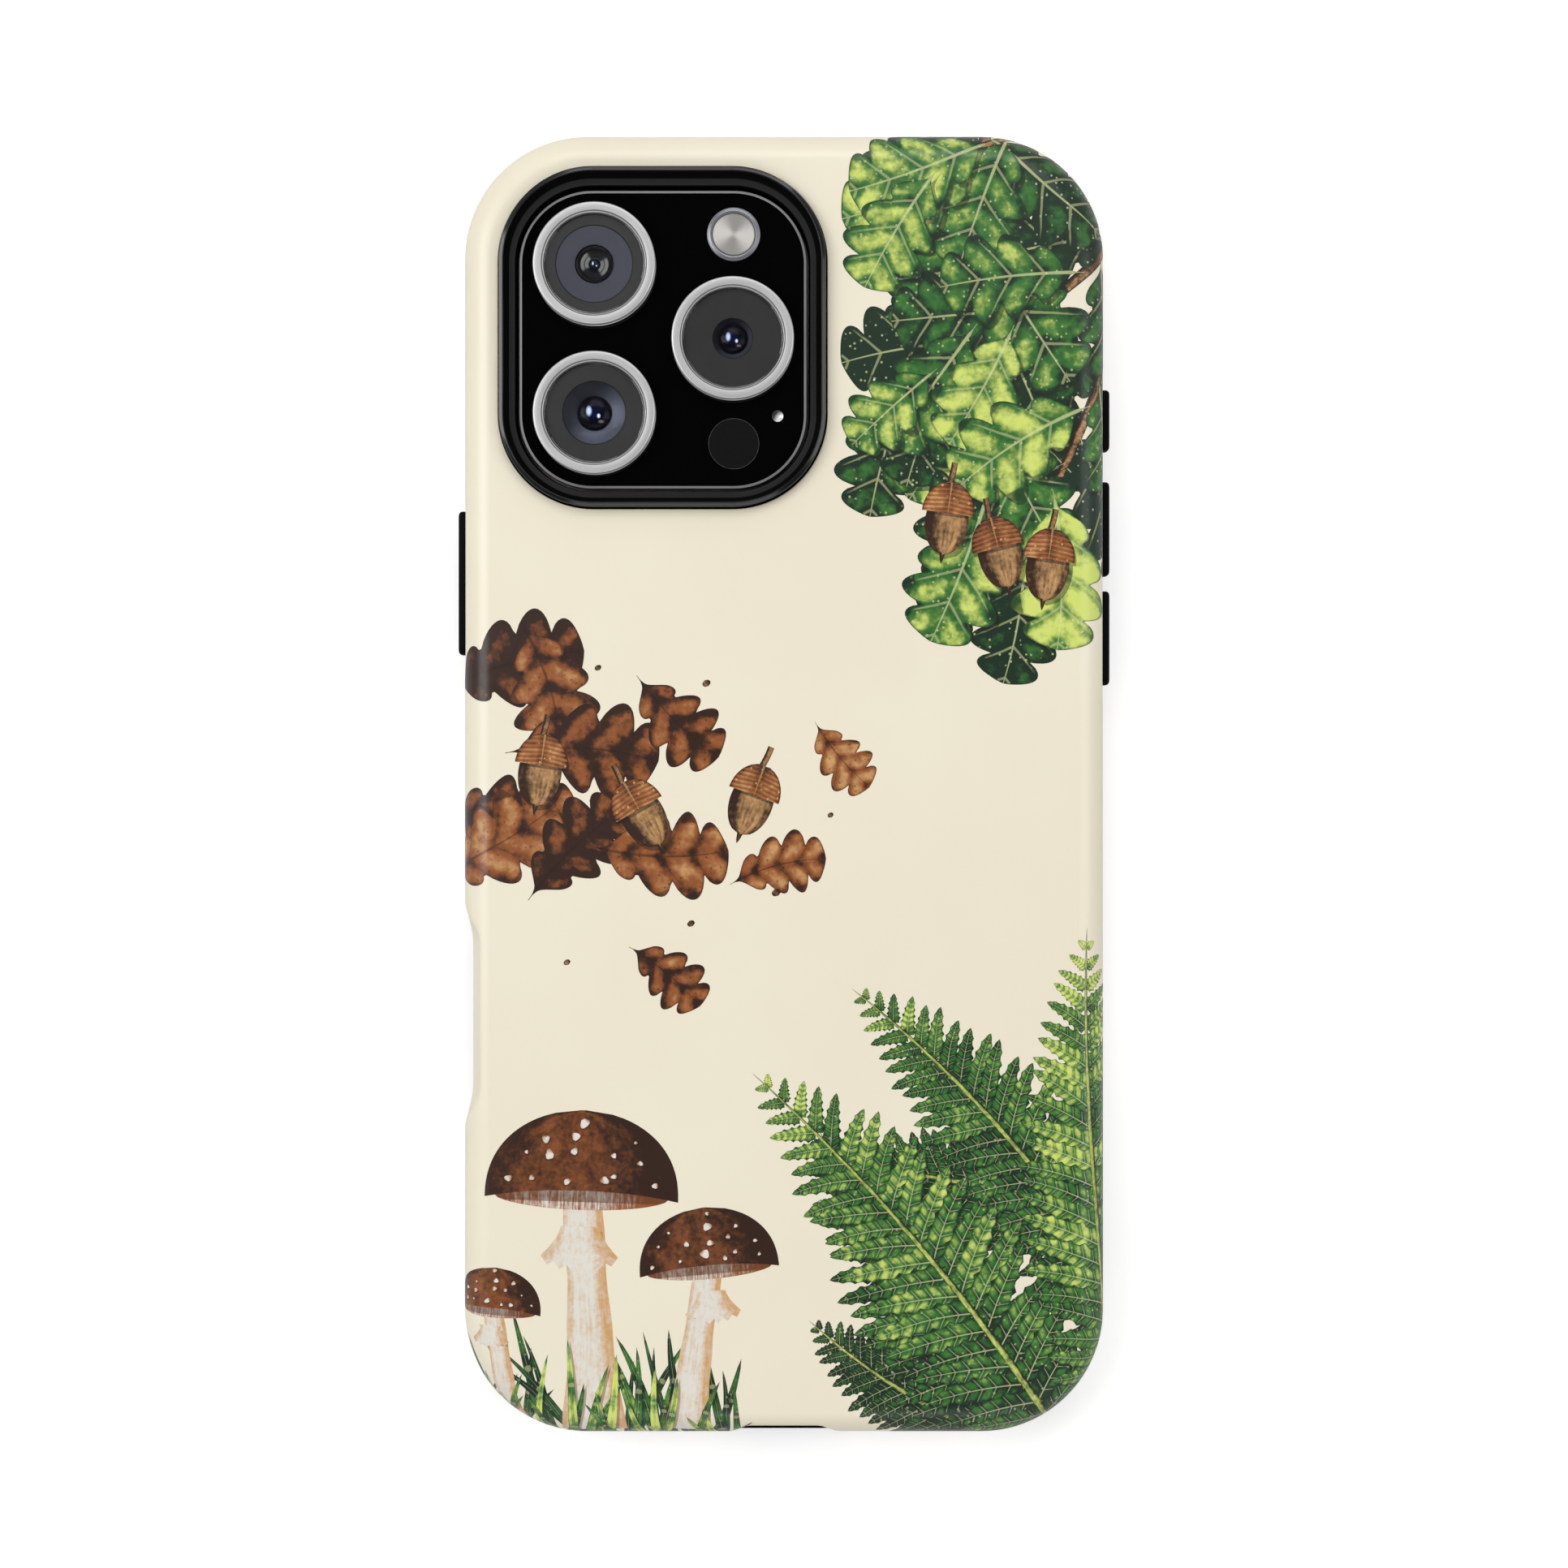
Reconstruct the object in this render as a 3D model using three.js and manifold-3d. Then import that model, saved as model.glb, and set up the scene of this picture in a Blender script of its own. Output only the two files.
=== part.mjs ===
// A large smartphone in a two-part protective case: a hard printed shell over a black rubber liner.
// It lies on the liner's front lip with its back up, as on a table.
// Millimetres. +Z points up out of the back, +Y towards the phone's top edge, and +X to the right of
// someone who looks down at the back. The origin is on the table, under the middle of the case.

import * as THREE from "three";
import { mergeVertices } from "three/addons/utils/BufferGeometryUtils.js";
import Module from "manifold-3d";

const wasm = await Module();
wasm.setup();

// Driving dimensions of the phone and of the layers round it
const phone = { width: 77.6, height: 163, thickness: 8.25, corner: 13.2, edge: 1.0 };
const PHONE_SLACK = 0.15;
const LINER_WALL = 1.15;
const LAYER_SLACK = 0.1;
const SHELL_WALL = 1.3;
const LIP_HEIGHT = 1.2;
const LIP_OVERLAP = 1.3;
const LINER_BACK = 1.05;
const SHELL_BACK = 1.55;
const BUMPER_TOP = 2.2;
const BUMPER_INSET = 0.05;
const SHELL_RIM_GAP = 0.15;

// How far each surface stands outside the phone's own outline
const LINER_INSIDE = PHONE_SLACK;
const LINER_OUTSIDE = LINER_INSIDE + LINER_WALL;
const SHELL_INSIDE = LINER_OUTSIDE + LAYER_SLACK;
const SHELL_OUTSIDE = SHELL_INSIDE + SHELL_WALL;
const CASE_HALF_WIDTH = phone.width / 2 + SHELL_OUTSIDE;
const CASE_HALF_HEIGHT = phone.height / 2 + SHELL_OUTSIDE;

// Heights above the table
const PHONE_FRONT = LIP_HEIGHT;
const PHONE_BACK = PHONE_FRONT + phone.thickness;
const PHONE_MIDDLE = (PHONE_FRONT + PHONE_BACK) / 2;
const LINER_CEILING = PHONE_BACK + PHONE_SLACK;
const LINER_TOP = LINER_CEILING + LINER_BACK;
const SHELL_CEILING = LINER_TOP + LAYER_SLACK;
const SHELL_TOP = SHELL_CEILING + SHELL_BACK;
const SHELL_RIM = BUMPER_TOP + SHELL_RIM_GAP;

// Roundings of the long edges
const SHELL_EDGE = 3.6;
const SHELL_INNER_EDGE = 2.3;
const LINER_EDGE = 2.2;
const LINER_INNER_EDGE = 0.8;
const BUMPER_EDGE = 0.9;

// Smoothness of the curved faces, and a reach beyond everything for cutting tools
const ARC_STEPS = 5;
const EDGE_STEPS = 4;
const FINE_EDGE_STEPS = 2;
const BAR_STEPS = 2;
const LATHE_STEPS = 32;
const SMALL_LATHE_STEPS = 20;
const FAR = 200;

// The camera block, the window round it in the case, and the raised guard between the two
const camera = {
  x: -15.65,
  y: 57.43,
  width: 37.2,
  height: 38.6,
  corner: 9.5,
  rise: 2.2,
  edge: 0.45,
};
const PLATEAU_TOP = PHONE_BACK + camera.rise;
const cameraWindow = { x: -15.65, y: 57.58, width: 42.5, height: 44.2, corner: 12.3 };
const guard = { gap: 0.2, rise: 1.65, crest: 0.6, foot: 0.25, edge: 0.3 };

// What stands on the camera block: places from its centre, heights from its top
const lens = {
  ringRadius: 7.9,
  glassRadius: 6.45,
  glassSlack: 0.1,
  ringRise: 2.1,
  ringEdge: 0.25,
  glassSink: 0.4,
  glassThickness: 0.6,
  wellFloor: 0.25,
  elementFoot: 0.3,
  elementTop: 0.9,
};
const lenses = [
  { name: "upper", x: -8.8, y: 9.6, well: 4.95, element: 2.35 },
  { name: "lower", x: -8.8, y: -9.6, well: 4.05, element: 2.1 },
  { name: "side", x: 9.05, y: 0, well: 2.55, element: 1.8 },
];
const flash = { x: 9.15, y: 13.55, radius: 3.45, lensRadius: 2.7, rise: 0.5 };
const depthSensor = { x: 9.15, y: -13.45, radius: 3.2, depth: 0.4 };
const microphone = { x: 14.85, y: -9.9, radius: 0.7, depth: 0.5, sink: 0.1 };

// The rubber covers over the side buttons, and the openings that they stand in
const cover = { height: 3.4, corner: 0.9, proud: 1.1, inside: 0.55, edge: 0.4 };
const COVER_SLACK = 0.2;
const SHELL_SLOT_SLACK = 0.5;
const covers = [
  { name: "power_button_cover", side: -1, y: 26.3, length: 18.8 },
  { name: "action_button_cover", side: 1, y: 47.6, length: 8.0 },
  { name: "volume_up_cover", side: 1, y: 33.4, length: 12.3 },
  { name: "volume_down_cover", side: 1, y: 19.1, length: 12.3 },
];

// The camera control key on the left side, its slot, and the finger scoop round the slot
const control = { y: -29.95, length: 18.2, height: 3.0, depth: 0.65, slack: 0.2, travel: 0.2 };
const controlSlot = { length: 20, height: 4.6 };
const scoop = { halfLength: 15, halfFlat: 9.4, depth: 0.93 };
const scoopSlope = { from: 8.0, rise: 3.4, run: 1.3 };

// The charging port in the middle of the bottom edge, and the sound slots beside it
const port = { width: 9.0, height: 3.2, depth: 6.5 };
const portOpening = { width: 12.6, height: 6.2 };
const portCollar = { width: 15.6, height: 7.2, corner: 2.4, inset: 0.35, slack: 0.2 };
const portNotch = { halfLength: 7.7, halfFlat: 4.3, depth: 0.62 };
const tongue = { width: 6.7, height: 0.7, depth: 4.6 };
const soundSlot = { x: 17.2, width: 13.4, height: 2.8 };
const soundHoles = { count: 5, pitch: 2.3, radius: 0.65, depth: 1.2, sides: 8 };

// The glass over the screen, set into the front of the phone
const screen = { inset: 1.0, thickness: 0.75, slack: 0.1, edge: 0.3 };

// Colours and finishes as the photograph shows them
const finish = {
  shell: { color: 0xece4ce, roughness: 0.35, metalness: 0 },
  rubber: { color: 0x0d0d0d, roughness: 0.6, metalness: 0 },
  titanium: { color: 0x8a8781, roughness: 0.35, metalness: 0.9 },
  blackGlass: { color: 0x050505, roughness: 0.08, metalness: 0 },
  steel: { color: 0xc4c4c4, roughness: 0.25, metalness: 1 },
  lensGlass: { color: 0x1a1a1a, roughness: 0.02, metalness: 0 },
  barrel: { color: 0x3a3b38, roughness: 0.5, metalness: 0.2 },
  element: { color: 0x10142a, roughness: 0.05, metalness: 0 },
  flashLens: { color: 0xd8d4cc, roughness: 0.3, metalness: 0.2 },
};

// A closed three.js geometry as a solid that can be joined and cut.
function solidOf(geometry) {
  const bare = geometry.clone();
  bare.deleteAttribute("normal");
  bare.deleteAttribute("uv");
  const merged = mergeVertices(bare, 1e-4);
  return new wasm.Manifold(
    new wasm.Mesh({
      numProp: 3,
      vertProperties: merged.attributes.position.array,
      triVerts: new Uint32Array(merged.index.array),
    }),
  );
}

function geometryOf(solid) {
  const { numProp, vertProperties, triVerts } = solid.getMesh();
  const positions = new Float32Array((vertProperties.length / numProp) * 3);
  for (let i = 0; i < positions.length / 3; i++) {
    positions.set(vertProperties.subarray(i * numProp, i * numProp + 3), i * 3);
  }
  const geometry = new THREE.BufferGeometry();
  geometry.setAttribute("position", new THREE.BufferAttribute(positions, 3));
  geometry.setIndex(new THREE.BufferAttribute(triVerts, 1));
  return geometry;
}

// A rectangle with round corners, centred on x, y.
function roundedRectangle(width, height, corner, x = 0, y = 0) {
  const right = width / 2 - corner;
  const top = height / 2 - corner;
  const shape = new THREE.Shape();
  shape.absarc(x + right, y + top, corner, 0, Math.PI / 2);
  shape.absarc(x - right, y + top, corner, Math.PI / 2, Math.PI);
  shape.absarc(x - right, y - top, corner, Math.PI, 1.5 * Math.PI);
  shape.absarc(x + right, y - top, corner, 1.5 * Math.PI, 2 * Math.PI);
  shape.closePath();
  return shape;
}

// A rounded rectangle with its own size and place, grown by an offset.
function grown({ width, height, corner, x = 0, y = 0 }, offset) {
  return roundedRectangle(width + 2 * offset, height + 2 * offset, corner + offset, x, y);
}

function prism(shape, low, high) {
  const geometry = new THREE.ExtrudeGeometry(shape, {
    depth: high - low,
    bevelEnabled: false,
    curveSegments: ARC_STEPS,
  });
  return solidOf(geometry.translate(0, 0, low));
}

// An upright block whose top and bottom edges are both rounded.
function pillow(shape, low, high, radius, steps = EDGE_STEPS) {
  const geometry = new THREE.ExtrudeGeometry(shape, {
    depth: high - low - 2 * radius,
    bevelThickness: radius,
    bevelSize: radius,
    bevelOffset: -radius,
    bevelSegments: steps,
    curveSegments: ARC_STEPS,
  });
  return solidOf(geometry.translate(0, 0, low + radius));
}

function box(x0, x1, y0, y1, z0, z1) {
  const geometry = new THREE.BoxGeometry(x1 - x0, y1 - y0, z1 - z0);
  return solidOf(geometry.translate((x0 + x1) / 2, (y0 + y1) / 2, (z0 + z1) / 2));
}

function roundedTop(shape, low, high, radius, steps) {
  const whole = pillow(shape, low - 3 * radius, high, radius, steps);
  return whole.subtract(box(-FAR, FAR, -FAR, FAR, -FAR, low));
}

function roundedBottom(shape, low, high, radius, steps) {
  const whole = pillow(shape, low, high + 3 * radius, radius, steps);
  return whole.subtract(box(-FAR, FAR, -FAR, FAR, high, FAR));
}

// A prism that widens by grow between two heights and then goes straight up.
function flare(shape, low, high, grow, top) {
  const geometry = new THREE.ExtrudeGeometry(shape, {
    depth: top - high,
    bevelThickness: high - low,
    bevelSize: grow,
    bevelSegments: 1,
    curveSegments: ARC_STEPS,
  });
  return solidOf(geometry.translate(0, 0, high));
}

// A bar with a rounded outline that lies through the left or right wall at half the phone's height.
function sideBar({ length, height, corner, y }, x0, x1, edge = 0) {
  const geometry = new THREE.ExtrudeGeometry(roundedRectangle(length, height, corner), {
    depth: x1 - x0 - 2 * edge,
    bevelEnabled: edge > 0,
    bevelThickness: edge,
    bevelSize: edge,
    bevelOffset: -edge,
    bevelSegments: FINE_EDGE_STEPS,
    curveSegments: BAR_STEPS,
  });
  geometry.translate(0, 0, edge);
  geometry.rotateZ(Math.PI / 2).rotateY(Math.PI / 2);
  return solidOf(geometry.translate(x0, y, PHONE_MIDDLE));
}

// A bar with a rounded outline that lies through the bottom wall at half the phone's height.
function endBar({ width, height, corner, x = 0 }, y0, y1) {
  const geometry = new THREE.ExtrudeGeometry(roundedRectangle(width, height, corner), {
    depth: y1 - y0,
    bevelEnabled: false,
    curveSegments: BAR_STEPS,
  });
  geometry.rotateX(Math.PI / 2);
  return solidOf(geometry.translate(x, y1, PHONE_MIDDLE));
}

// The corner radius that turns a bar's ends into half circles, short of the full half height.
function roundEnd(height) {
  return height / 2 - 0.01;
}

// The plan of a shallow dip in a straight wall, with S-shaped ends. The wall's face lies on y = 0.
function dipShape({ halfLength, halfFlat, depth }) {
  const OUT = 3;
  const bend = (halfLength - halfFlat) / 2;
  const shape = new THREE.Shape();
  shape.moveTo(-halfLength, -OUT);
  shape.lineTo(halfLength, -OUT);
  shape.lineTo(halfLength, 0);
  shape.bezierCurveTo(halfLength - bend, 0, halfFlat + bend, depth, halfFlat, depth);
  shape.lineTo(-halfFlat, depth);
  shape.bezierCurveTo(-halfFlat - bend, depth, -halfLength + bend, 0, -halfLength, 0);
  shape.closePath();
  return shape;
}

// The finger scoop in the left wall: upright beside the slot, then leaning in towards the back.
function scoopTool() {
  const { from, rise, run } = scoopSlope;
  const upright = prism(dipShape(scoop), -1, from + 0.5);
  const sloped = flare(dipShape(scoop), from, from + rise, run, SHELL_TOP + 1);
  return upright.add(sloped).rotate([0, 0, -90]).translate([-CASE_HALF_WIDTH, control.y, 0]);
}

function controlSlotTool() {
  const { length, height } = controlSlot;
  const bar = { length, height, corner: roundEnd(height), y: control.y };
  return sideBar(bar, -FAR, -phone.width / 2 + 0.1);
}

function portNotchTool(depth) {
  const dip = prism(dipShape({ ...portNotch, depth }), -1, SHELL_TOP + 1);
  return dip.translate([0, -CASE_HALF_HEIGHT, 0]);
}

function soundSlotTools() {
  const { x, width, height } = soundSlot;
  return [-x, x].map((middle) => {
    const bar = { width, height, corner: roundEnd(height), x: middle };
    return endBar(bar, -FAR, -phone.height / 2 + 0.1);
  });
}

function coverWindow({ y, length }, slack) {
  const { height, corner } = cover;
  return { y, length: length + 2 * slack, height: height + 2 * slack, corner: corner + slack };
}

function caseShell() {
  let body = roundedTop(grown(phone, SHELL_OUTSIDE), SHELL_RIM, SHELL_TOP, SHELL_EDGE);
  const inside = grown(phone, SHELL_INSIDE);
  body = body.subtract(roundedTop(inside, SHELL_RIM - 1, SHELL_CEILING, SHELL_INNER_EDGE));
  body = body.subtract(prism(grown(cameraWindow, 0), 0, FAR));
  for (const each of covers) {
    const face = each.side * CASE_HALF_WIDTH;
    body = body.subtract(sideBar(coverWindow(each, SHELL_SLOT_SLACK), face - 3, face + 3));
  }
  body = body.subtract(scoopTool()).subtract(controlSlotTool());
  body = body.subtract(portNotchTool(portNotch.depth));
  const { width, height, corner, slack } = portCollar;
  const opening = { width: width + 2 * slack, height: height + 2 * slack, corner: corner + slack };
  body = body.subtract(endBar(opening, -FAR, -phone.height / 2));
  return soundSlotTools().reduce((whole, tool) => whole.subtract(tool), body);
}

// The raised rim round the cameras: a narrow crest, and an inside that leans in to the camera block.
function cameraGuard() {
  const { gap, rise, crest, foot, edge } = guard;
  const top = SHELL_TOP + rise;
  const rim = roundedTop(grown(cameraWindow, -gap), LINER_CEILING, top, edge, FINE_EDGE_STEPS);
  const reach = (cameraWindow.width - camera.width) / 2 - gap - crest - foot;
  return rim.subtract(flare(grown(camera, foot), LINER_TOP + 0.3, top - 0.5, reach, top + 1));
}

// The rubber from outside: the bumper in front, the sleeve under the shell, and the port's collar.
function linerOutside() {
  const bumperOutline = grown(phone, SHELL_OUTSIDE - BUMPER_INSET);
  const bumper = roundedBottom(bumperOutline, 0, BUMPER_TOP, BUMPER_EDGE, FINE_EDGE_STEPS);
  const sleeve = roundedTop(grown(phone, LINER_OUTSIDE), BUMPER_TOP - 0.5, LINER_TOP, LINER_EDGE);
  const collar = endBar(portCollar, -CASE_HALF_HEIGHT + portCollar.inset, -phone.height / 2);
  return bumper.add(sleeve).add(collar);
}

function caseLiner() {
  let body = linerOutside();
  body = body.subtract(prism(grown(cameraWindow, -1), LINER_CEILING, FAR));
  body = body.add(cameraGuard());
  body = body.subtract(prism(grown(camera, guard.foot), PHONE_MIDDLE, FAR));
  const inside = grown(phone, LINER_INSIDE);
  const floor = PHONE_FRONT - 0.05;
  body = body.subtract(pillow(inside, floor, LINER_CEILING, LINER_INNER_EDGE, FINE_EDGE_STEPS));
  body = body.subtract(prism(grown(phone, -LIP_OVERLAP), -1, PHONE_FRONT + 1));
  for (const each of covers) {
    const middle = each.side * (phone.width / 2 + LINER_OUTSIDE / 2);
    body = body.subtract(sideBar(coverWindow(each, COVER_SLACK), middle - 1, middle + 1));
  }
  body = body.subtract(scoopTool()).subtract(controlSlotTool());
  body = body.subtract(portNotchTool(portCollar.inset));
  const opening = { ...portOpening, corner: roundEnd(portOpening.height) };
  body = body.subtract(endBar(opening, -FAR, -phone.height / 2 + 0.1));
  return soundSlotTools().reduce((whole, tool) => whole.subtract(tool), body);
}

function buttonCover({ side, y, length }) {
  const { height, corner, proud, inside, edge } = cover;
  const reach = [side * (phone.width / 2 + inside), side * (CASE_HALF_WIDTH + proud)];
  return sideBar({ length, height, corner, y }, Math.min(...reach), Math.max(...reach), edge);
}

function soundHoleTools() {
  const { count, pitch, radius, depth, sides } = soundHoles;
  const tools = [];
  for (const middle of [-soundSlot.x, soundSlot.x]) {
    for (let i = 0; i < count; i++) {
      const hole = new THREE.CylinderGeometry(radius, radius, 2 * depth, sides);
      const x = middle + (i - (count - 1) / 2) * pitch;
      tools.push(solidOf(hole.translate(x, -phone.height / 2, PHONE_MIDDLE)));
    }
  }
  return tools;
}

function phoneBody() {
  let body = pillow(grown(phone, 0), PHONE_FRONT + 0.05, PHONE_BACK, phone.edge, FINE_EDGE_STEPS);
  const { inset, thickness, slack } = screen;
  body = body.subtract(prism(grown(phone, slack - inset), 0, PHONE_FRONT + thickness + slack));
  const side = -phone.width / 2;
  const pocket = {
    y: control.y,
    length: control.length + 2 * control.slack,
    height: control.height + 2 * control.slack,
    corner: roundEnd(control.height) + control.slack,
  };
  body = body.subtract(sideBar(pocket, side - 1, side + control.depth + control.travel));
  const end = -phone.height / 2;
  body = body.subtract(endBar({ ...port, corner: roundEnd(port.height) }, end - 1, end + port.depth));
  return soundHoleTools().reduce((whole, tool) => whole.subtract(tool), body);
}

function displayGlass() {
  const { inset, thickness, edge } = screen;
  const shape = grown(phone, -inset);
  return roundedBottom(shape, PHONE_FRONT, PHONE_FRONT + thickness, edge, FINE_EDGE_STEPS);
}

function controlKey() {
  const side = -phone.width / 2;
  return sideBar({ ...control, corner: roundEnd(control.height) }, side, side + control.depth);
}

function portTongue() {
  const { width, height, depth } = tongue;
  const back = -phone.height / 2 + port.depth;
  const low = PHONE_MIDDLE - height / 2;
  return box(-width / 2, width / 2, back - depth, back, low, low + height);
}

// A disc or ring turned about an upright axis on the camera block, from [radius, height] pairs.
function turned(profile, { x, y }, steps = LATHE_STEPS) {
  const points = profile.map(([radius, height]) => new THREE.Vector2(radius, height));
  const geometry = new THREE.LatheGeometry(points, steps);
  geometry.rotateX(Math.PI / 2);
  return solidOf(geometry.translate(camera.x + x, camera.y + y, PLATEAU_TOP));
}

function disc(place, radius, low, high, steps) {
  const profile = [
    [0, low],
    [radius, low],
    [radius, high],
    [0, high],
  ];
  return turned(profile, place, steps);
}

function cameraPlateau() {
  const shape = grown(camera, 0);
  let body = roundedTop(shape, PHONE_BACK, PLATEAU_TOP, camera.edge, FINE_EDGE_STEPS);
  const { radius, depth, sink } = microphone;
  body = body.subtract(disc(depthSensor, depthSensor.radius + 0.05, -depthSensor.depth, 1));
  return body.subtract(disc(microphone, radius + 0.1, -depth - sink, 1, SMALL_LATHE_STEPS));
}

function lensRing(place) {
  const { ringRadius, glassRadius, glassSlack, ringRise, ringEdge } = lens;
  const inside = glassRadius + glassSlack;
  const profile = [
    [inside, 0],
    [ringRadius, 0],
    [ringRadius, ringRise - ringEdge],
    [ringRadius - ringEdge, ringRise],
    [inside + ringEdge, ringRise],
    [inside, ringRise - ringEdge],
    [inside, 0],
  ];
  return turned(profile, place);
}

function lensWindow(place) {
  const high = lens.ringRise - lens.glassSink;
  return disc(place, lens.glassRadius, high - lens.glassThickness, high);
}

// The dark floor under the glass, with a cone-shaped well for the lens element.
function lensBarrel(place) {
  const { wellFloor, glassRadius, ringRise, glassSink, glassThickness } = lens;
  const top = ringRise - glassSink - glassThickness - 0.1;
  const profile = [
    [0, 0],
    [glassRadius, 0],
    [glassRadius, top],
    [place.well, top],
    [place.element + 0.1, wellFloor],
    [0, wellFloor],
  ];
  return turned(profile, place);
}

function lensElement(place) {
  const DOME_STEPS = 3;
  const { elementFoot, elementTop } = lens;
  const profile = [[0, elementFoot]];
  for (let i = 0; i < DOME_STEPS; i++) {
    const turn = ((i / DOME_STEPS) * Math.PI) / 2;
    const height = elementFoot + (elementTop - elementFoot) * Math.sin(turn);
    profile.push([place.element * Math.cos(turn), height]);
  }
  profile.push([0, elementTop]);
  return turned(profile, place, SMALL_LATHE_STEPS);
}

function flashBezel() {
  const EDGE = 0.2;
  const inside = flash.lensRadius + 0.08;
  const profile = [
    [inside, 0],
    [flash.radius, 0],
    [flash.radius, flash.rise - EDGE],
    [flash.radius - EDGE, flash.rise],
    [inside, flash.rise],
    [inside, 0],
  ];
  return turned(profile, flash);
}

const group = new THREE.Group();

function place(name, solid, look) {
  const mesh = new THREE.Mesh(geometryOf(solid), new THREE.MeshStandardMaterial(look));
  mesh.name = name;
  group.add(mesh);
}

// The case
place("case_shell", caseShell(), finish.shell);
place("case_liner", caseLiner(), finish.rubber);
for (const each of covers) {
  place(each.name, buttonCover(each), finish.rubber);
}

// The phone
place("phone_body", phoneBody(), finish.titanium);
place("display_glass", displayGlass(), finish.blackGlass);
place("camera_control_key", controlKey(), finish.blackGlass);
place("port_tongue", portTongue(), finish.blackGlass);

// The camera block
place("camera_plateau", cameraPlateau(), finish.blackGlass);
for (const each of lenses) {
  place(`${each.name}_lens_ring`, lensRing(each), finish.steel);
  place(`${each.name}_lens_window`, lensWindow(each), finish.lensGlass);
  place(`${each.name}_lens_barrel`, lensBarrel(each), finish.barrel);
  place(`${each.name}_lens_element`, lensElement(each), finish.element);
}
place("flash_bezel", flashBezel(), finish.steel);
place("flash_lens", disc(flash, flash.lensRadius, 0, flash.rise - 0.1), finish.flashLens);
const sensorWindow = disc(depthSensor, depthSensor.radius, -depthSensor.depth, 0);
place("depth_sensor_window", sensorWindow, finish.blackGlass);
const grille = disc(microphone, microphone.radius, -microphone.depth, -microphone.sink, SMALL_LATHE_STEPS);
place("microphone_grille", grille, finish.steel);

export default group;
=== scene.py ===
# The looks of a large smartphone in a two-part protective case that lies on its front.
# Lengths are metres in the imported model's frame: +Z up out of the phone's back, +Y to its top edge.

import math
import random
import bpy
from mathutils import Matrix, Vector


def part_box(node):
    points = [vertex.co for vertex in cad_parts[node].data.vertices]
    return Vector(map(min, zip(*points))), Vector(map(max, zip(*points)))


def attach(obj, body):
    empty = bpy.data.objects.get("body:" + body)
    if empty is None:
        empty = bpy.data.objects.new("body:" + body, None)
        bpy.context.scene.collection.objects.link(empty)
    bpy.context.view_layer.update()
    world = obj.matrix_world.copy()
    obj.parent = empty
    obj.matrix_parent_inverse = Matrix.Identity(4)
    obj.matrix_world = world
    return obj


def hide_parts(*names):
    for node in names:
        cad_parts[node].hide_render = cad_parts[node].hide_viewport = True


bl_info = {
    "name": "Cased smartphone",
    "version": (1, 0, 0),
    "blender": (4, 5, 0),
    "location": "3D View > Sidebar > Cased phone",
    "description": "Builds a smartphone in a printed hard shell over a rubber liner, and its studio",
    "category": "Object",
}

from collections import defaultdict
from typing import NamedTuple

import bmesh
import bpy
from bpy.props import FloatProperty, FloatVectorProperty, IntProperty, PointerProperty
from mathutils import Matrix, Vector
from mathutils.bvhtree import BVHTree
from mathutils.geometry import delaunay_2d_cdt
from mathutils.interpolate import poly_3d_calc

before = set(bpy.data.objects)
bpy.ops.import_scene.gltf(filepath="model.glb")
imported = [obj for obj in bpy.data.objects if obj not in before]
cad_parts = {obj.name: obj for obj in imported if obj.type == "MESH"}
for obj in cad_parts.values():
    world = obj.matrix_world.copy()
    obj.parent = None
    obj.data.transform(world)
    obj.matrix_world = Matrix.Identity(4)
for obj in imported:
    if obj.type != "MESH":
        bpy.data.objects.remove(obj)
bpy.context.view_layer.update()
BOX = {node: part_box(node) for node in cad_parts}

MM = 0.001
BODY = "cased_phone"
RIGHT_ANGLE = math.pi / 2
CORNER_STEPS = 36
EDGE_STEPS = 8
LATHE_STEPS = 96
SMOOTH_ANGLE = math.radians(32)
TURNED_ANGLE = math.radians(25)
MOUTH_STEPS = 5
BAR_STEPS = 10
MERGE_DISTANCE = 1e-7


# Settings that a user would change

def length(name, description, millimetres):
    return FloatProperty(name=name, description=description, default=millimetres * MM,
                         subtype="DISTANCE", unit="LENGTH", precision=5)


def linear(value):
    """A screen value from 0 to 255 as the share of light that it stands for."""
    share = value / 255
    return share / 12.92 if share <= 0.04045 else ((share + 0.055) / 1.055) ** 2.4


def colour(name, description, *screen_values):
    return FloatVectorProperty(name=name, description=description, subtype="COLOR", size=3,
                               min=0, max=1, default=[linear(value) for value in screen_values])


def strength(name, description, default):
    return FloatProperty(name=name, description=description, default=default, min=0)


class ShellSettings(bpy.types.PropertyGroup):
    corner: length("Corner", "Radius of the shell's corners, seen from above", 15.9)
    edge: length("Edge", "Radius of the rounding from the back to the sides", 3.6)
    inner_edge: length("Inner edge", "Radius of that rounding inside", 2.3)
    wall: length("Wall", "Thickness of the sides", 1.3)
    back: length("Back", "Thickness of the back", 1.55)
    mouth: length("Opening edge", "Rounding of the edges of the openings", 0.35)
    cream: colour("Cream", "Colour of the bare plastic", 237, 230, 209)
    cream_shade: colour("Cream shade", "Colour of its faint clouds", 235, 227, 205)


class LinerSettings(bpy.types.PropertyGroup):
    wall: length("Wall", "Thickness of the sleeve's sides", 1.15)
    slack: length("Slack", "Gap between the phone and the sleeve", 0.15)
    roof: length("Roof", "Thickness of the sleeve's back", 1.05)
    lip: length("Lip", "Height of the front lip", 1.2)
    lip_overlap: length("Lip overlap", "How far the lip reaches over the phone's front", 1.3)
    bumper: length("Bumper", "Height of the band that shows below the shell", 2.2)
    rubber: colour("Rubber", "Colour of the rubber", 8, 8, 8)


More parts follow.
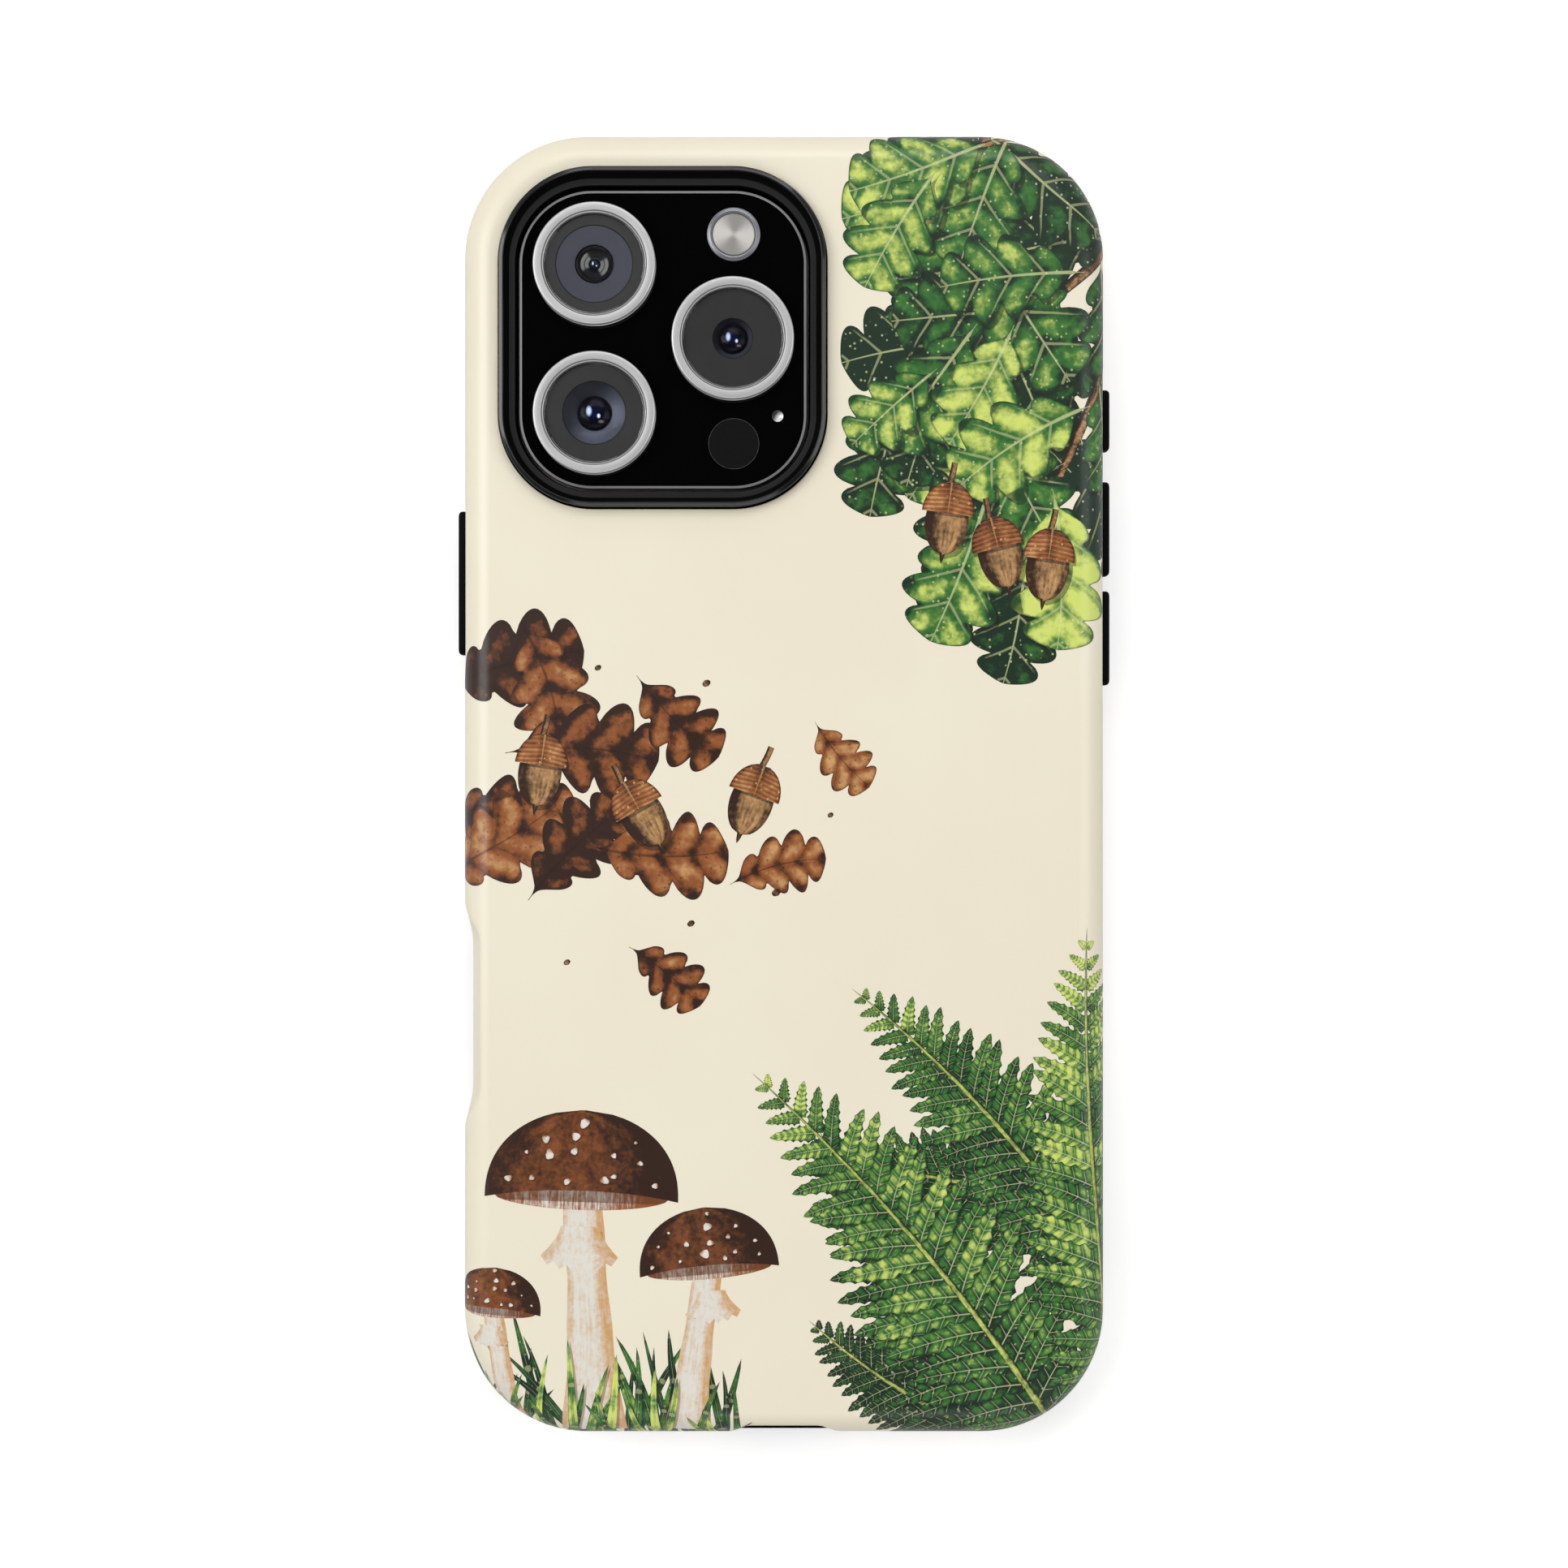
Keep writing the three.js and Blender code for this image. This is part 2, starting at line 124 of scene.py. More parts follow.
class PhoneSettings(bpy.types.PropertyGroup):
    edge: length("Edge", "Rounding of the phone's long edges", 1.0)
    corner: length("Corner", "Radius of the phone's corners", 13.2)
    metal: colour("Frame metal", "Colour of the phone's frame", 140, 136, 129)
    glass: colour("Black glass", "Colour of the black glass", 4, 4, 4)
    screen: colour("Dark screen", "Colour of the unlit screen under its glass", 9, 9, 11)


class LensSettings(bpy.types.PropertyGroup):
    ring: colour("Ring", "Colour of the lens rings", 208, 208, 208)
    annulus: colour("Annulus", "Colour of the dark band under the glass", 47, 47, 45)
    upper_well: colour("Upper well", "Colour of the upper lens's well", 60, 61, 70)
    lower_well: colour("Lower well", "Colour of the lower lens's well", 76, 79, 90)
    side_well: colour("Side well", "Colour of the side lens's well", 66, 68, 78)
    element: colour("Element", "Colour of the glass element", 16, 22, 58)
    flash: colour("Flash", "Colour of the flash's diffuser", 184, 181, 177)
    sensor: colour("Sensor", "Colour of the depth sensor's window", 24, 24, 24)


class PrintSettings(bpy.types.PropertyGroup):
    seed: IntProperty(name="Seed", description="Start of the print's random choices", default=7)
    film: length("Film", "Thickness of the print's layer", 0.05)
    rise: length("Rise", "Height of the print above the plastic", 0.02)
    deep_green: colour("Deep green", "Darkest green of the leaves", 16, 42, 24)
    leaf_green: colour("Leaf green", "Main green of the leaves", 54, 112, 46)
    young_green: colour("Young green", "Lightest green of the leaves", 208, 222, 112)
    deep_brown: colour("Deep brown", "Darkest brown", 48, 25, 13)
    warm_brown: colour("Warm brown", "Main brown", 146, 84, 42)
    tan: colour("Tan", "Lightest brown", 205, 158, 104)
    chalk: colour("Chalk", "Pale grey of stems and light strokes", 226, 222, 212)


class StudioSettings(bpy.types.PropertyGroup):
    camera_height: length("Camera height", "Height of the camera over the table", 400)
    focal_length: FloatProperty(name="Focal length", description="Focal length in millimetres",
                                default=68.99, min=10, max=300)
    floor: colour("Floor", "Colour of the floor", 228, 228, 228)
    glow: strength("Floor glow", "Light added where the floor is seen", 0.45)
    left: strength("Left light", "Brightness of the softbox at the upper left", 4.6)
    top: strength("Top light", "Brightness of the softbox past the top edge", 2.9)
    right: strength("Right light", "Brightness of the softbox at the right", 2.2)
    front: strength("Front light", "Brightness of the softbox at the bottom", 1.5)
    sky: strength("Sky", "Brightness of the surroundings at the horizon", 0.55)


# Shapes seen from above

class Outline(NamedTuple):
    """A rectangle with round corners."""

    width: float
    height: float
    corner: float
    x: float = 0.0
    y: float = 0.0

    def grown(self, offset):
        return Outline(self.width + 2 * offset, self.height + 2 * offset,
                       max(self.corner + offset, 0.01 * MM), self.x, self.y)

    def towards(self, other, share):
        return Outline(*(a + (b - a) * share for a, b in zip(self, other)))

    def point(self, index, steps):
        """One of the outline's 4 * (steps + 1) points, counterclockwise from its right side."""
        corner, step = divmod(index, steps + 1)
        turn = RIGHT_ANGLE * (corner + step / steps)
        across = (self.width / 2 - self.corner) * (1 if corner in (0, 3) else -1)
        up = (self.height / 2 - self.corner) * (1 if corner in (0, 1) else -1)
        return (self.x + across + self.corner * math.cos(turn),
                self.y + up + self.corner * math.sin(turn))


def outline_of(node, corner):
    """The outline of a CAD node, seen from above."""
    low, high = BOX[node]
    return Outline(high.x - low.x, high.y - low.y, corner,
                   (low.x + high.x) / 2, (low.y + high.y) / 2)


def stack(sections, steps=CORNER_STEPS, ring=False):
    """A solid through outlines at heights. A ring closes its last section on its first."""
    bm = bmesh.new()
    count = 4 * (steps + 1)
    made = bmesh.ops.create_circle(bm, cap_ends=not ring, radius=1, segments=count)
    verts = made["verts"]
    edges = bm.edges[:]
    for number, (outline, z) in enumerate(sections):
        if number:
            geom = bmesh.ops.extrude_edge_only(bm, edges=edges)["geom"]
            verts = [part for part in geom if isinstance(part, bmesh.types.BMVert)]
            edges = [part for part in geom if isinstance(part, bmesh.types.BMEdge)]
        for index, vert in enumerate(verts):
            vert.co = (*outline.point(index, steps), z)
    if ring:
        bmesh.ops.remove_doubles(bm, verts=bm.verts, dist=MERGE_DISTANCE)
    else:
        bmesh.ops.edgeloop_fill(bm, edges=edges)
    bmesh.ops.recalc_face_normals(bm, faces=bm.faces)
    return bm


def rounding(outline, face, radius, steps, upwards):
    """Sections of a quarter round that ends on a face. A negative radius flares outwards."""
    sections = []
    for step in range(steps + 1):
        turn = RIGHT_ANGLE * step / steps
        depth = abs(radius) * (1 - math.sin(turn))
        z = face - depth if upwards else face + depth
        sections.append((outline.grown(-radius * (1 - math.cos(turn))), z))
    return sections if upwards else sections[::-1]


def block(outline, low, high, top=0.0, bottom=0.0, steps=CORNER_STEPS, arc=EDGE_STEPS):
    """An upright slab with rounded or flared edges."""
    lower = rounding(outline, low, bottom, arc, False) if bottom else [(outline, low)]
    upper = rounding(outline, high, top, arc, True) if top else [(outline, high)]
    return stack(lower + upper, steps)


def lathe(profile, centre, steps=LATHE_STEPS):
    """A solid turned about an upright axis, from [radius, height] pairs that close on themselves."""
    bm = bmesh.new()
    verts = [bm.verts.new((radius, 0, height)) for radius, height in profile]
    edges = [bm.edges.new(pair) for pair in zip(verts, verts[1:] + verts[:1])
             if max(pair[0].co.x, pair[1].co.x) > 0]
    bmesh.ops.spin(bm, geom=verts + edges, cent=(0, 0, 0), axis=(0, 0, 1), angle=math.tau,
                   steps=steps, use_merge=True)
    bmesh.ops.remove_doubles(bm, verts=bm.verts, dist=MERGE_DISTANCE)
    bmesh.ops.recalc_face_normals(bm, faces=bm.faces)
    bmesh.ops.translate(bm, verts=bm.verts, vec=centre)
    return bm


def drill(radius, depth, edge, centre=(0, 0, 0), steps=LATHE_STEPS):
    """A cutter for a round hole with a chamfered mouth."""
    return lathe([(0, -depth), (radius, -depth), (radius, -edge), (radius + edge, 0),
                  (radius + edge, 1 * MM), (0, 1 * MM)], centre, steps)


def arc_points(centre_radius, centre_height, radius, first, last, steps):
    """[radius, height] pairs along an arc between two angles in degrees."""
    points = []
    for step in range(steps + 1):
        turn = math.radians(first + (last - first) * step / steps)
        points.append((centre_radius + radius * math.cos(turn),
                       centre_height + radius * math.sin(turn)))
    return points


def out_of_wall(bm, normal, origin):
    """Turns an upright solid so that it points out of a side wall, with its Y axis upright."""
    outward, upright = Vector(normal), Vector((0, 0, 1))
    turn = Matrix((upright.cross(outward), upright, outward)).transposed().to_4x4()
    bmesh.ops.transform(bm, matrix=Matrix.Translation(origin) @ turn, verts=bm.verts)
    return bm


def stand_in(bm, name):
    mesh = bpy.data.meshes.new(name)
    bm.to_mesh(mesh)
    bm.free()
    helper = bpy.data.objects.new(name, mesh)
    bpy.context.scene.collection.objects.link(helper)
    return helper


def carved(bm, tools, operation="DIFFERENCE"):
    """The solid after every tool is cut out of it, or joined to it."""
    base = stand_in(bm, "uncut")
    helpers = [stand_in(tool, "tool") for tool in tools]
    for helper in helpers:
        modifier = base.modifiers.new("cut", "BOOLEAN")
        modifier.solver = "EXACT"
        modifier.operation = operation
        modifier.object = helper
    bpy.context.view_layer.update()
    result = bmesh.new()
    result.from_object(base, bpy.context.evaluated_depsgraph_get())
    for helper in helpers + [base]:
        mesh = helper.data
        bpy.data.objects.remove(helper)
        bpy.data.meshes.remove(mesh)
    bmesh.ops.remove_doubles(result, verts=result.verts, dist=MERGE_DISTANCE)
    return result


def cut_through(bm, axis, places):
    """Adds edges where planes square to an axis cross the solid."""
    normal = Vector([1 if axis == other else 0 for other in range(3)])
    for place in places:
        geom = bm.verts[:] + bm.edges[:] + bm.faces[:]
        bmesh.ops.bisect_plane(bm, geom=geom, dist=MERGE_DISTANCE, plane_co=normal * place,
                               plane_no=normal)


def spaced(first, last, step):
    count = max(1, round((last - first) / step))
    return [first + (last - first) * number / count for number in range(count + 1)]


def ease(value):
    value = min(max(value, 0.0), 1.0)
    return value * value * (3 - 2 * value)


def soft_least(first, second, softness):
    """The lesser of two values, with a rounded change from one to the other."""
    share = max(softness - abs(first - second), 0) / softness
    return min(first, second) - share * share * softness / 4


def piece(name, bm, materials, nodes=(), body=BODY, smooth=SMOOTH_ANGLE, weighted=False):
    """A finished mesh as a piece of the phone."""
    mesh = bpy.data.meshes.new(name)
    bm.to_mesh(mesh)
    bm.free()
    for material in materials if isinstance(materials, list) else [materials]:
        mesh.materials.append(material)
    mesh.shade_smooth()
    mesh.set_sharp_from_angle(angle=smooth)
    made = bpy.data.objects.new(name, mesh)
    bpy.context.scene.collection.objects.link(made)
    if weighted:
        modifier = made.modifiers.new("even shading", "WEIGHTED_NORMAL")
        modifier.keep_sharp = True
        modifier.weight = 100
    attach(made, body)
    if nodes:
        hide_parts(*nodes)
    return made


# Node helpers

MIX_FACTOR, MIX_FIRST, MIX_SECOND, MIX_RESULT = 0, 6, 7, 2  # a Mix node's sockets for colours


class Nodes:
    """Adds nodes to a material, a world or a group."""

    def __init__(self, tree):
        self.tree = tree

    def add(self, kind, inputs=None, **settings):
        node = self.tree.nodes.new("ShaderNode" + kind)
        for name, value in settings.items():
            setattr(node, name, value)
        for name, value in (inputs or {}).items():
            self.feed(node.inputs[name], value)
        return node

    def feed(self, socket, value):
        if isinstance(value, bpy.types.NodeSocket):
            self.tree.links.new(value, socket)
        elif socket.type == "RGBA":
            socket.default_value = (*value[:3], 1)
        else:
            socket.default_value = value

    def math(self, operation, first, second=0.0, third=0.0):
        node = self.add("Math", operation=operation)
        for socket, value in zip(node.inputs, (first, second, third)):
            self.feed(socket, value)
        return node.outputs[0]

    def band(self, value, start, end, low=0.0, high=1.0):
        """A smooth change from low to high while value goes from start to end."""
        return self.add("MapRange", {"Value": value, "From Min": start, "From Max": end,
                                     "To Min": low, "To Max": high},
                        interpolation_type="SMOOTHSTEP").outputs["Result"]

    def times(self, first, second):
        return self.math("MULTIPLY", first, second)

    def mix(self, factor, first, second):
        node = self.add("Mix", data_type="RGBA")
        self.feed(node.inputs[MIX_FACTOR], factor)
        self.feed(node.inputs[MIX_FIRST], first)
        self.feed(node.inputs[MIX_SECOND], second)
        return node.outputs[MIX_RESULT]

    def noise(self, vector, scale, detail, roughness=0.5):
        return self.add("TexNoise", {"Vector": vector, "Scale": scale, "Detail": detail,
                                     "Roughness": roughness}).outputs["Fac"]

    def uneven(self, vector, scale, detail=2.0, roughness=0.5):
        """Noise about zero."""
        return self.math("SUBTRACT", self.noise(vector, scale, detail, roughness), 0.5)

    def parts(self, vector):
        return self.add("SeparateXYZ", {"Vector": vector}).outputs

    def place(self, centre=(0, 0, 0), scale=(1, 1, 1)):
        """Object coordinates, measured from a centre and stretched."""
        coordinates = self.add("TexCoord").outputs["Object"]
        shift = [-at * stretch for at, stretch in zip(centre, scale)]
        return self.add("Mapping", {"Vector": coordinates, "Location": shift,
                                    "Scale": scale}).outputs["Vector"]

    def radius(self, vector):
        """Distance from the upright axis."""
        flat = self.add("VectorMath", operation="MULTIPLY")
        self.feed(flat.inputs[0], vector)
        flat.inputs[1].default_value = (1, 1, 0)
        size = self.add("VectorMath", operation="LENGTH")
        self.feed(size.inputs[0], flat.outputs[0])
        return size.outputs["Value"]

    def group(self, name, inputs):
        """The outputs of a shared node group, fed with these inputs."""
        node = self.add("Group")
        node.node_tree = Groups.get(name)
        for label, value in inputs.items():
            self.feed(node.inputs[label], value)
        return node.outputs


def new_material(name):
    material = bpy.data.materials.new(name)
    material.use_nodes = True
    nodes = Nodes(material.node_tree)
    return material, nodes, material.node_tree.nodes["Principled BSDF"]


def set_surface(nodes, shader, colour, roughness, height=None, depth=0.0, **constants):
    """Feeds a Principled shader, with relief of a depth in metres from height."""
    nodes.feed(shader.inputs["Base Color"], colour)
    nodes.feed(shader.inputs["Roughness"], roughness)
    for name, value in constants.items():
        shader.inputs[name.replace("_", " ")].default_value = value
    if height is not None:
        bump = nodes.add("Bump", {"Height": height, "Distance": depth, "Strength": 1.0})
        nodes.feed(shader.inputs["Normal"], bump.outputs["Normal"])


def toned(colour, share):
    """A colour made darker or lighter by a share of itself."""
    return [share * part for part in colour]


def let_through(material, nodes, shader, mask):
    """Makes a material as clear as air where a mask is 1."""
    clear = nodes.add("BsdfTransparent")
    choice = nodes.add("MixShader")
    ends = (mask, shader.outputs["BSDF"], clear.outputs["BSDF"])
    for socket, value in zip(choice.inputs, ends):
        nodes.feed(socket, value)
    output = material.node_tree.nodes["Material Output"]
    nodes.feed(output.inputs["Surface"], choice.outputs[0])


def new_group(name, inputs, outputs):
    """An empty shader group with named sockets."""
    tree = bpy.data.node_groups.new(name, "ShaderNodeTree")
    for label, (kind, default) in inputs.items():
        socket = tree.interface.new_socket(label, in_out="INPUT", socket_type="NodeSocket" + kind)
        if default is not None:
            socket.default_value = default
    for label, kind in outputs.items():
        tree.interface.new_socket(label, in_out="OUTPUT", socket_type="NodeSocket" + kind)
    nodes = Nodes(tree)
    entry = tree.nodes.new("NodeGroupInput")
    leave = tree.nodes.new("NodeGroupOutput")
    return tree, nodes, entry.outputs, leave.inputs


def moulded_skin_group():
    """Fine grain and uneven gloss, as on moulded plastic and rubber."""
    tree, nodes, given, result = new_group(
        "moulded skin",
        {"Vector": ("Vector", None), "Grain": ("Float", 3000.0), "Gloss": ("Float", 0.35),
         "Spread": ("Float", 0.05)},
        {"Height": "Float", "Roughness": "Float"})
    nodes.feed(result["Height"], nodes.noise(given["Vector"], given["Grain"], 3.0))
    wear = nodes.uneven(given["Vector"], 90.0, 3.0)
    nodes.feed(result["Roughness"],
               nodes.math("MULTIPLY_ADD", wear, given["Spread"], given["Gloss"]))
    return tree


def turned_group():
    """Fine rings about an axis, as a lathe leaves them."""
    tree, nodes, given, result = new_group(
        "turned rings",
        {"Vector": ("Vector", None), "Rings": ("Float", 9000.0), "Gloss": ("Float", 0.3),
         "Spread": ("Float", 0.1)},
        {"Height": "Float", "Roughness": "Float", "Radius": "Float"})
    radius = nodes.radius(given["Vector"])
    along = nodes.add("CombineXYZ", {"X": radius}).outputs["Vector"]
    rings = nodes.noise(along, given["Rings"], 2.0)
    centred = nodes.math("SUBTRACT", rings, 0.5)
    nodes.feed(result["Height"], rings)
    nodes.feed(result["Radius"], radius)
    nodes.feed(result["Roughness"],
               nodes.math("MULTIPLY_ADD", centred, given["Spread"], given["Gloss"]))
    return tree


def rounded_field_group():
    """A mask of the inside of a rounded rectangle about the origin."""
    tree, nodes, given, result = new_group(
        "rounded field",
        {"Vector": ("Vector", None), "Half width": ("Float", 0.03),
         "Half height": ("Float", 0.07), "Corner": ("Float", 0.01), "Blur": ("Float", 0.0001)},
        {"Mask": "Float"})
    parts = nodes.parts(given["Vector"])
    beyond = []
    for axis, half in (("X", "Half width"), ("Y", "Half height")):
        reach = nodes.math("SUBTRACT", given[half], given["Corner"])
        past = nodes.math("SUBTRACT", nodes.math("ABSOLUTE", parts[axis]), reach)
        beyond.append(nodes.math("MAXIMUM", past, 0.0))
    corner = nodes.add("CombineXYZ", {"X": beyond[0], "Y": beyond[1]}).outputs["Vector"]
    distance = nodes.math("SUBTRACT", nodes.radius(corner), given["Corner"])
    far = nodes.math("DIVIDE", distance, given["Blur"])
    nodes.feed(result["Mask"], nodes.band(far, -0.5, 0.5, 1.0, 0.0))
    return tree


def painted_leaf_group():
    """Watercolour on a leaf: ribs, quilted fields between them, pale specks and a dark margin."""
    tree, nodes, given, result = new_group(
        "painted leaf",
        {"Vector": ("Vector", None), "Field": ("Vector", None), "Margin": ("Vector", None),
         "Tint": ("Float", 0.5), "Deep": ("Color", None), "Middle": ("Color", None),
         "Light": ("Color", None), "Rib": ("Color", None), "Ribs": ("Float", 9.0),
         "Offset": ("Float", 0.0), "Lean": ("Float", 0.3), "Specks": ("Float", 0.6)},
        {"Color": "Color"})
    parts = nodes.parts(given["Field"])
    along = parts["Y"]
    wide = nodes.math("ABSOLUTE", nodes.math("MULTIPLY_ADD", parts["X"], 2.0, -1.0))
    side = nodes.parts(given["Margin"])["X"]
    margin = nodes.math("ABSOLUTE", nodes.math("MULTIPLY_ADD", side, 2.0, -1.0))
    wobble = nodes.uneven(given["Vector"], 300.0)
    drift = nodes.math("MULTIPLY_ADD", wobble, 0.02, along)
    slant = nodes.times(wide, given["Lean"])
    phase = nodes.math("MULTIPLY_ADD", nodes.math("SUBTRACT", drift, slant), given["Ribs"],
                       given["Offset"])
    part = nodes.math("FRACT", nodes.math("ADD", phase, 10.0))
    near = nodes.math("ABSOLUTE", nodes.math("SUBTRACT", part, 0.5))
    thin = nodes.math("MULTIPLY_ADD", wide, -0.03, near)
    side_rib = nodes.times(nodes.band(thin, 0.435, 0.465), nodes.band(margin, 0.95, 0.7))
    rib_edge = nodes.math("MULTIPLY_ADD", along, 0.03, wide)
    main_rib = nodes.band(rib_edge, 0.05, 0.028)
    ribs = nodes.math("MAXIMUM", nodes.times(side_rib, 0.6), main_rib)
    wash = nodes.uneven(given["Vector"], 300.0, 3.0, 0.6)
    daub = nodes.uneven(given["Vector"], 900.0, 3.0, 0.6)
    value = nodes.math("MULTIPLY_ADD", wash, 0.95, given["Tint"])
    value = nodes.math("MULTIPLY_ADD", daub, 0.75, value)
    value = nodes.math("ADD", value, nodes.band(near, 0.46, 0.12, -0.16, 0.18))
    value = nodes.math("SUBTRACT", value, nodes.band(wide, 0.3, 0.06, 0.0, 0.2))
    value = nodes.math("SUBTRACT", value, nodes.band(along, 0.35, 0.0, 0.0, 0.25))
    value = nodes.math("SUBTRACT", value, nodes.band(margin, 0.75, 1.0, 0.0, 0.2))
    body = nodes.mix(nodes.band(value, 0.0, 0.5), given["Deep"], given["Middle"])
    body = nodes.mix(nodes.band(value, 0.42, 1.0), body, given["Light"])
    cells = nodes.add("TexVoronoi", {"Vector": given["Vector"], "Scale": 1500.0})
    keep = nodes.add("SeparateColor", {"Color": cells.outputs["Color"]}).outputs["Red"]
    dots = nodes.times(nodes.band(cells.outputs["Distance"], 0.3, 0.14),
                       nodes.band(keep, 0.55, 0.65))
    body = nodes.mix(nodes.times(dots, given["Specks"]), body, given["Rib"])
    body = nodes.mix(nodes.times(ribs, 0.55), body, given["Rib"])
    rim = nodes.band(margin, 0.92, 0.98)
    nodes.feed(result["Color"], nodes.mix(nodes.times(rim, 0.7), body, given["Deep"]))
    return tree


class Groups:
    """The shared node groups, each made when it is first asked for."""

    makers = {"skin": moulded_skin_group, "turned": turned_group,
              "field": rounded_field_group, "leaf": painted_leaf_group}
    made = {}

    @classmethod
    def get(cls, name):
        if name not in cls.made:
            cls.made[name] = cls.makers[name]()
        return cls.made[name]


# Finishes

def satin_surface(nodes, shader, body):
    """The shell's satin skin over a colour, bare or printed."""
    skin = nodes.group("skin", {"Vector": nodes.place(), "Grain": 2600.0, "Gloss": 0.34,
                                "Spread": 0.08})
    set_surface(nodes, shader, body, skin["Roughness"], skin["Height"], 0.0012 * MM)


def shell_plastic(settings):
    material, nodes, shader = new_material("satin printed plastic")
    cloud = nodes.noise(nodes.place(), 38.0, 3.0)
    body = nodes.mix(nodes.band(cloud, 0.3, 0.7), settings.cream, settings.cream_shade)
    satin_surface(nodes, shader, body)
    return material


def rubber(settings, name="black rubber", crest=None):
    """Matt rubber, polished above the height of a crest if one is given, with a faint lighter line
    painted on the ledge below it: a painted reflection.
    """
    material, nodes, shader = new_material(name)
    place = nodes.place()
    skin = nodes.group("skin", {"Vector": place, "Grain": 4200.0, "Gloss": 0.5, "Spread": 0.1})
    dust = nodes.band(nodes.noise(place, 700.0, 4.0, 0.7), 0.62, 0.85)
    body = nodes.mix(nodes.times(dust, 0.2), settings.rubber, (0.008, 0.008, 0.008))
    if crest:
        height = nodes.parts(place)["Z"]
        polish = nodes.band(height, crest - 0.35 * MM, crest - 0.2 * MM)
        nodes.feed(shader.inputs["Coat Weight"], polish)
        # painted reflection: a faint lighter band on the ledge half way down the guard's inside
        ledge = nodes.times(nodes.band(height, crest - 1.6 * MM, crest - 1.55 * MM),
                            nodes.band(height, crest - 1.4 * MM, crest - 1.5 * MM))
        body = nodes.mix(ledge, body, (0.02, 0.02, 0.02))
    set_surface(nodes, shader, body, skin["Roughness"], skin["Height"], 0.0008 * MM,
                Specular_IOR_Level=0.05, Coat_Roughness=0.13)
    return material


def black_glass(settings, name="polished black glass", painted_edge_line=None):
    """Black glass, rougher between two heights if they are given, and painted lighter grey there: a
    painted highlight line along a rounded edge.
    """
    material, nodes, shader = new_material(name)
    smears = nodes.noise(nodes.place(scale=(1, 0.4, 1)), 120.0, 3.0, 0.6)
    gloss = nodes.band(smears, 0.35, 0.8, 0.03, 0.09)
    body = settings.glass
    if painted_edge_line:
        low, high = painted_edge_line
        height = nodes.parts(nodes.place())["Z"]
        blur = 0.004 * MM
        edge = nodes.times(nodes.band(height, low - blur, low + blur),
                           nodes.band(height, high + blur, high - blur))
        gloss = nodes.math("MAXIMUM", gloss, nodes.times(edge, 0.34))
        # painted highlight: the edge band is lightened to grey
        body = nodes.mix(edge, body, (0.2, 0.2, 0.2))
    set_surface(nodes, shader, body, gloss)
    return material


def screen_glass(settings):
    """The front glass, with the unlit display and its sensor pill just showing."""
    material, nodes, shader = new_material("front glass")
    low, high = BOX["display_glass"]
    half = Vector(((high.x - low.x) / 2 - 1.4 * MM, (high.y - low.y) / 2 - 1.4 * MM))
    field = nodes.group("field", {"Vector": nodes.place(), "Half width": half.x,
                                  "Half height": half.y, "Corner": 10.8 * MM,
                                  "Blur": 0.12 * MM})["Mask"]
    pill_centre = (0, half.y - 6.2 * MM, 0)
    pill = nodes.group("field", {"Vector": nodes.place(pill_centre), "Half width": 10.2 * MM,
                                 "Half height": 2.9 * MM, "Corner": 2.89 * MM,
                                 "Blur": 0.12 * MM})["Mask"]
    eye = nodes.radius(nodes.place((-7.0 * MM, pill_centre[1], 0)))
    shown = nodes.math("SUBTRACT", field, pill)
    body = nodes.mix(nodes.math("MAXIMUM", shown, 0.0), settings.glass, settings.screen)
    body = nodes.mix(nodes.band(eye, 1.5 * MM, 1.3 * MM), body, (0.004, 0.006, 0.02))
    smears = nodes.noise(nodes.place(scale=(1, 0.4, 1)), 90.0, 3.0, 0.6)
    set_surface(nodes, shader, body, nodes.band(smears, 0.35, 0.8, 0.02, 0.08))
    return material


def brushed_metal(name, colour, gloss, stretch):
    material, nodes, shader = new_material(name)
    strokes = nodes.noise(nodes.place(scale=stretch), 2600.0, 3.0)
    wear = nodes.uneven(nodes.place(), 160.0, 3.0)
    rough = nodes.math("MULTIPLY_ADD", wear, 0.15, gloss)
    shade = nodes.mix(nodes.band(strokes, 0.3, 0.7), colour, toned(colour, 0.85))
    set_surface(nodes, shader, shade, rough, strokes, 0.002 * MM, Metallic=1.0)
    return material


def ring_metal(name, colour, centre, gloss, chamfer=None):
    """Satin metal with the fine rings of a lathe, and a band between two radii painted dark as shade
    if asked.
    """
    material, nodes, shader = new_material(name)
    turned = nodes.group("turned", {"Vector": nodes.place(centre), "Gloss": gloss})
    shade = nodes.mix(nodes.band(turned["Height"], 0.3, 0.7), colour, toned(colour, 0.93))
    if chamfer:
        inner, outer = chamfer
        inside = nodes.band(turned["Radius"], outer + 0.01 * MM, outer - 0.02 * MM)
        outside = nodes.band(turned["Radius"], inner - 0.01 * MM, inner + 0.02 * MM)
        # painted shade: the chamfer band between the two radii is darkened
        shade = nodes.mix(nodes.times(inside, outside), shade, toned(colour, 0.34))
    set_surface(nodes, shader, shade, turned["Roughness"], turned["Height"], 0.0015 * MM,
                Metallic=0.6)
    return material


RING_SHADOW = 6.27 * MM  # past this radius the barrel's floor is in the ring's shade


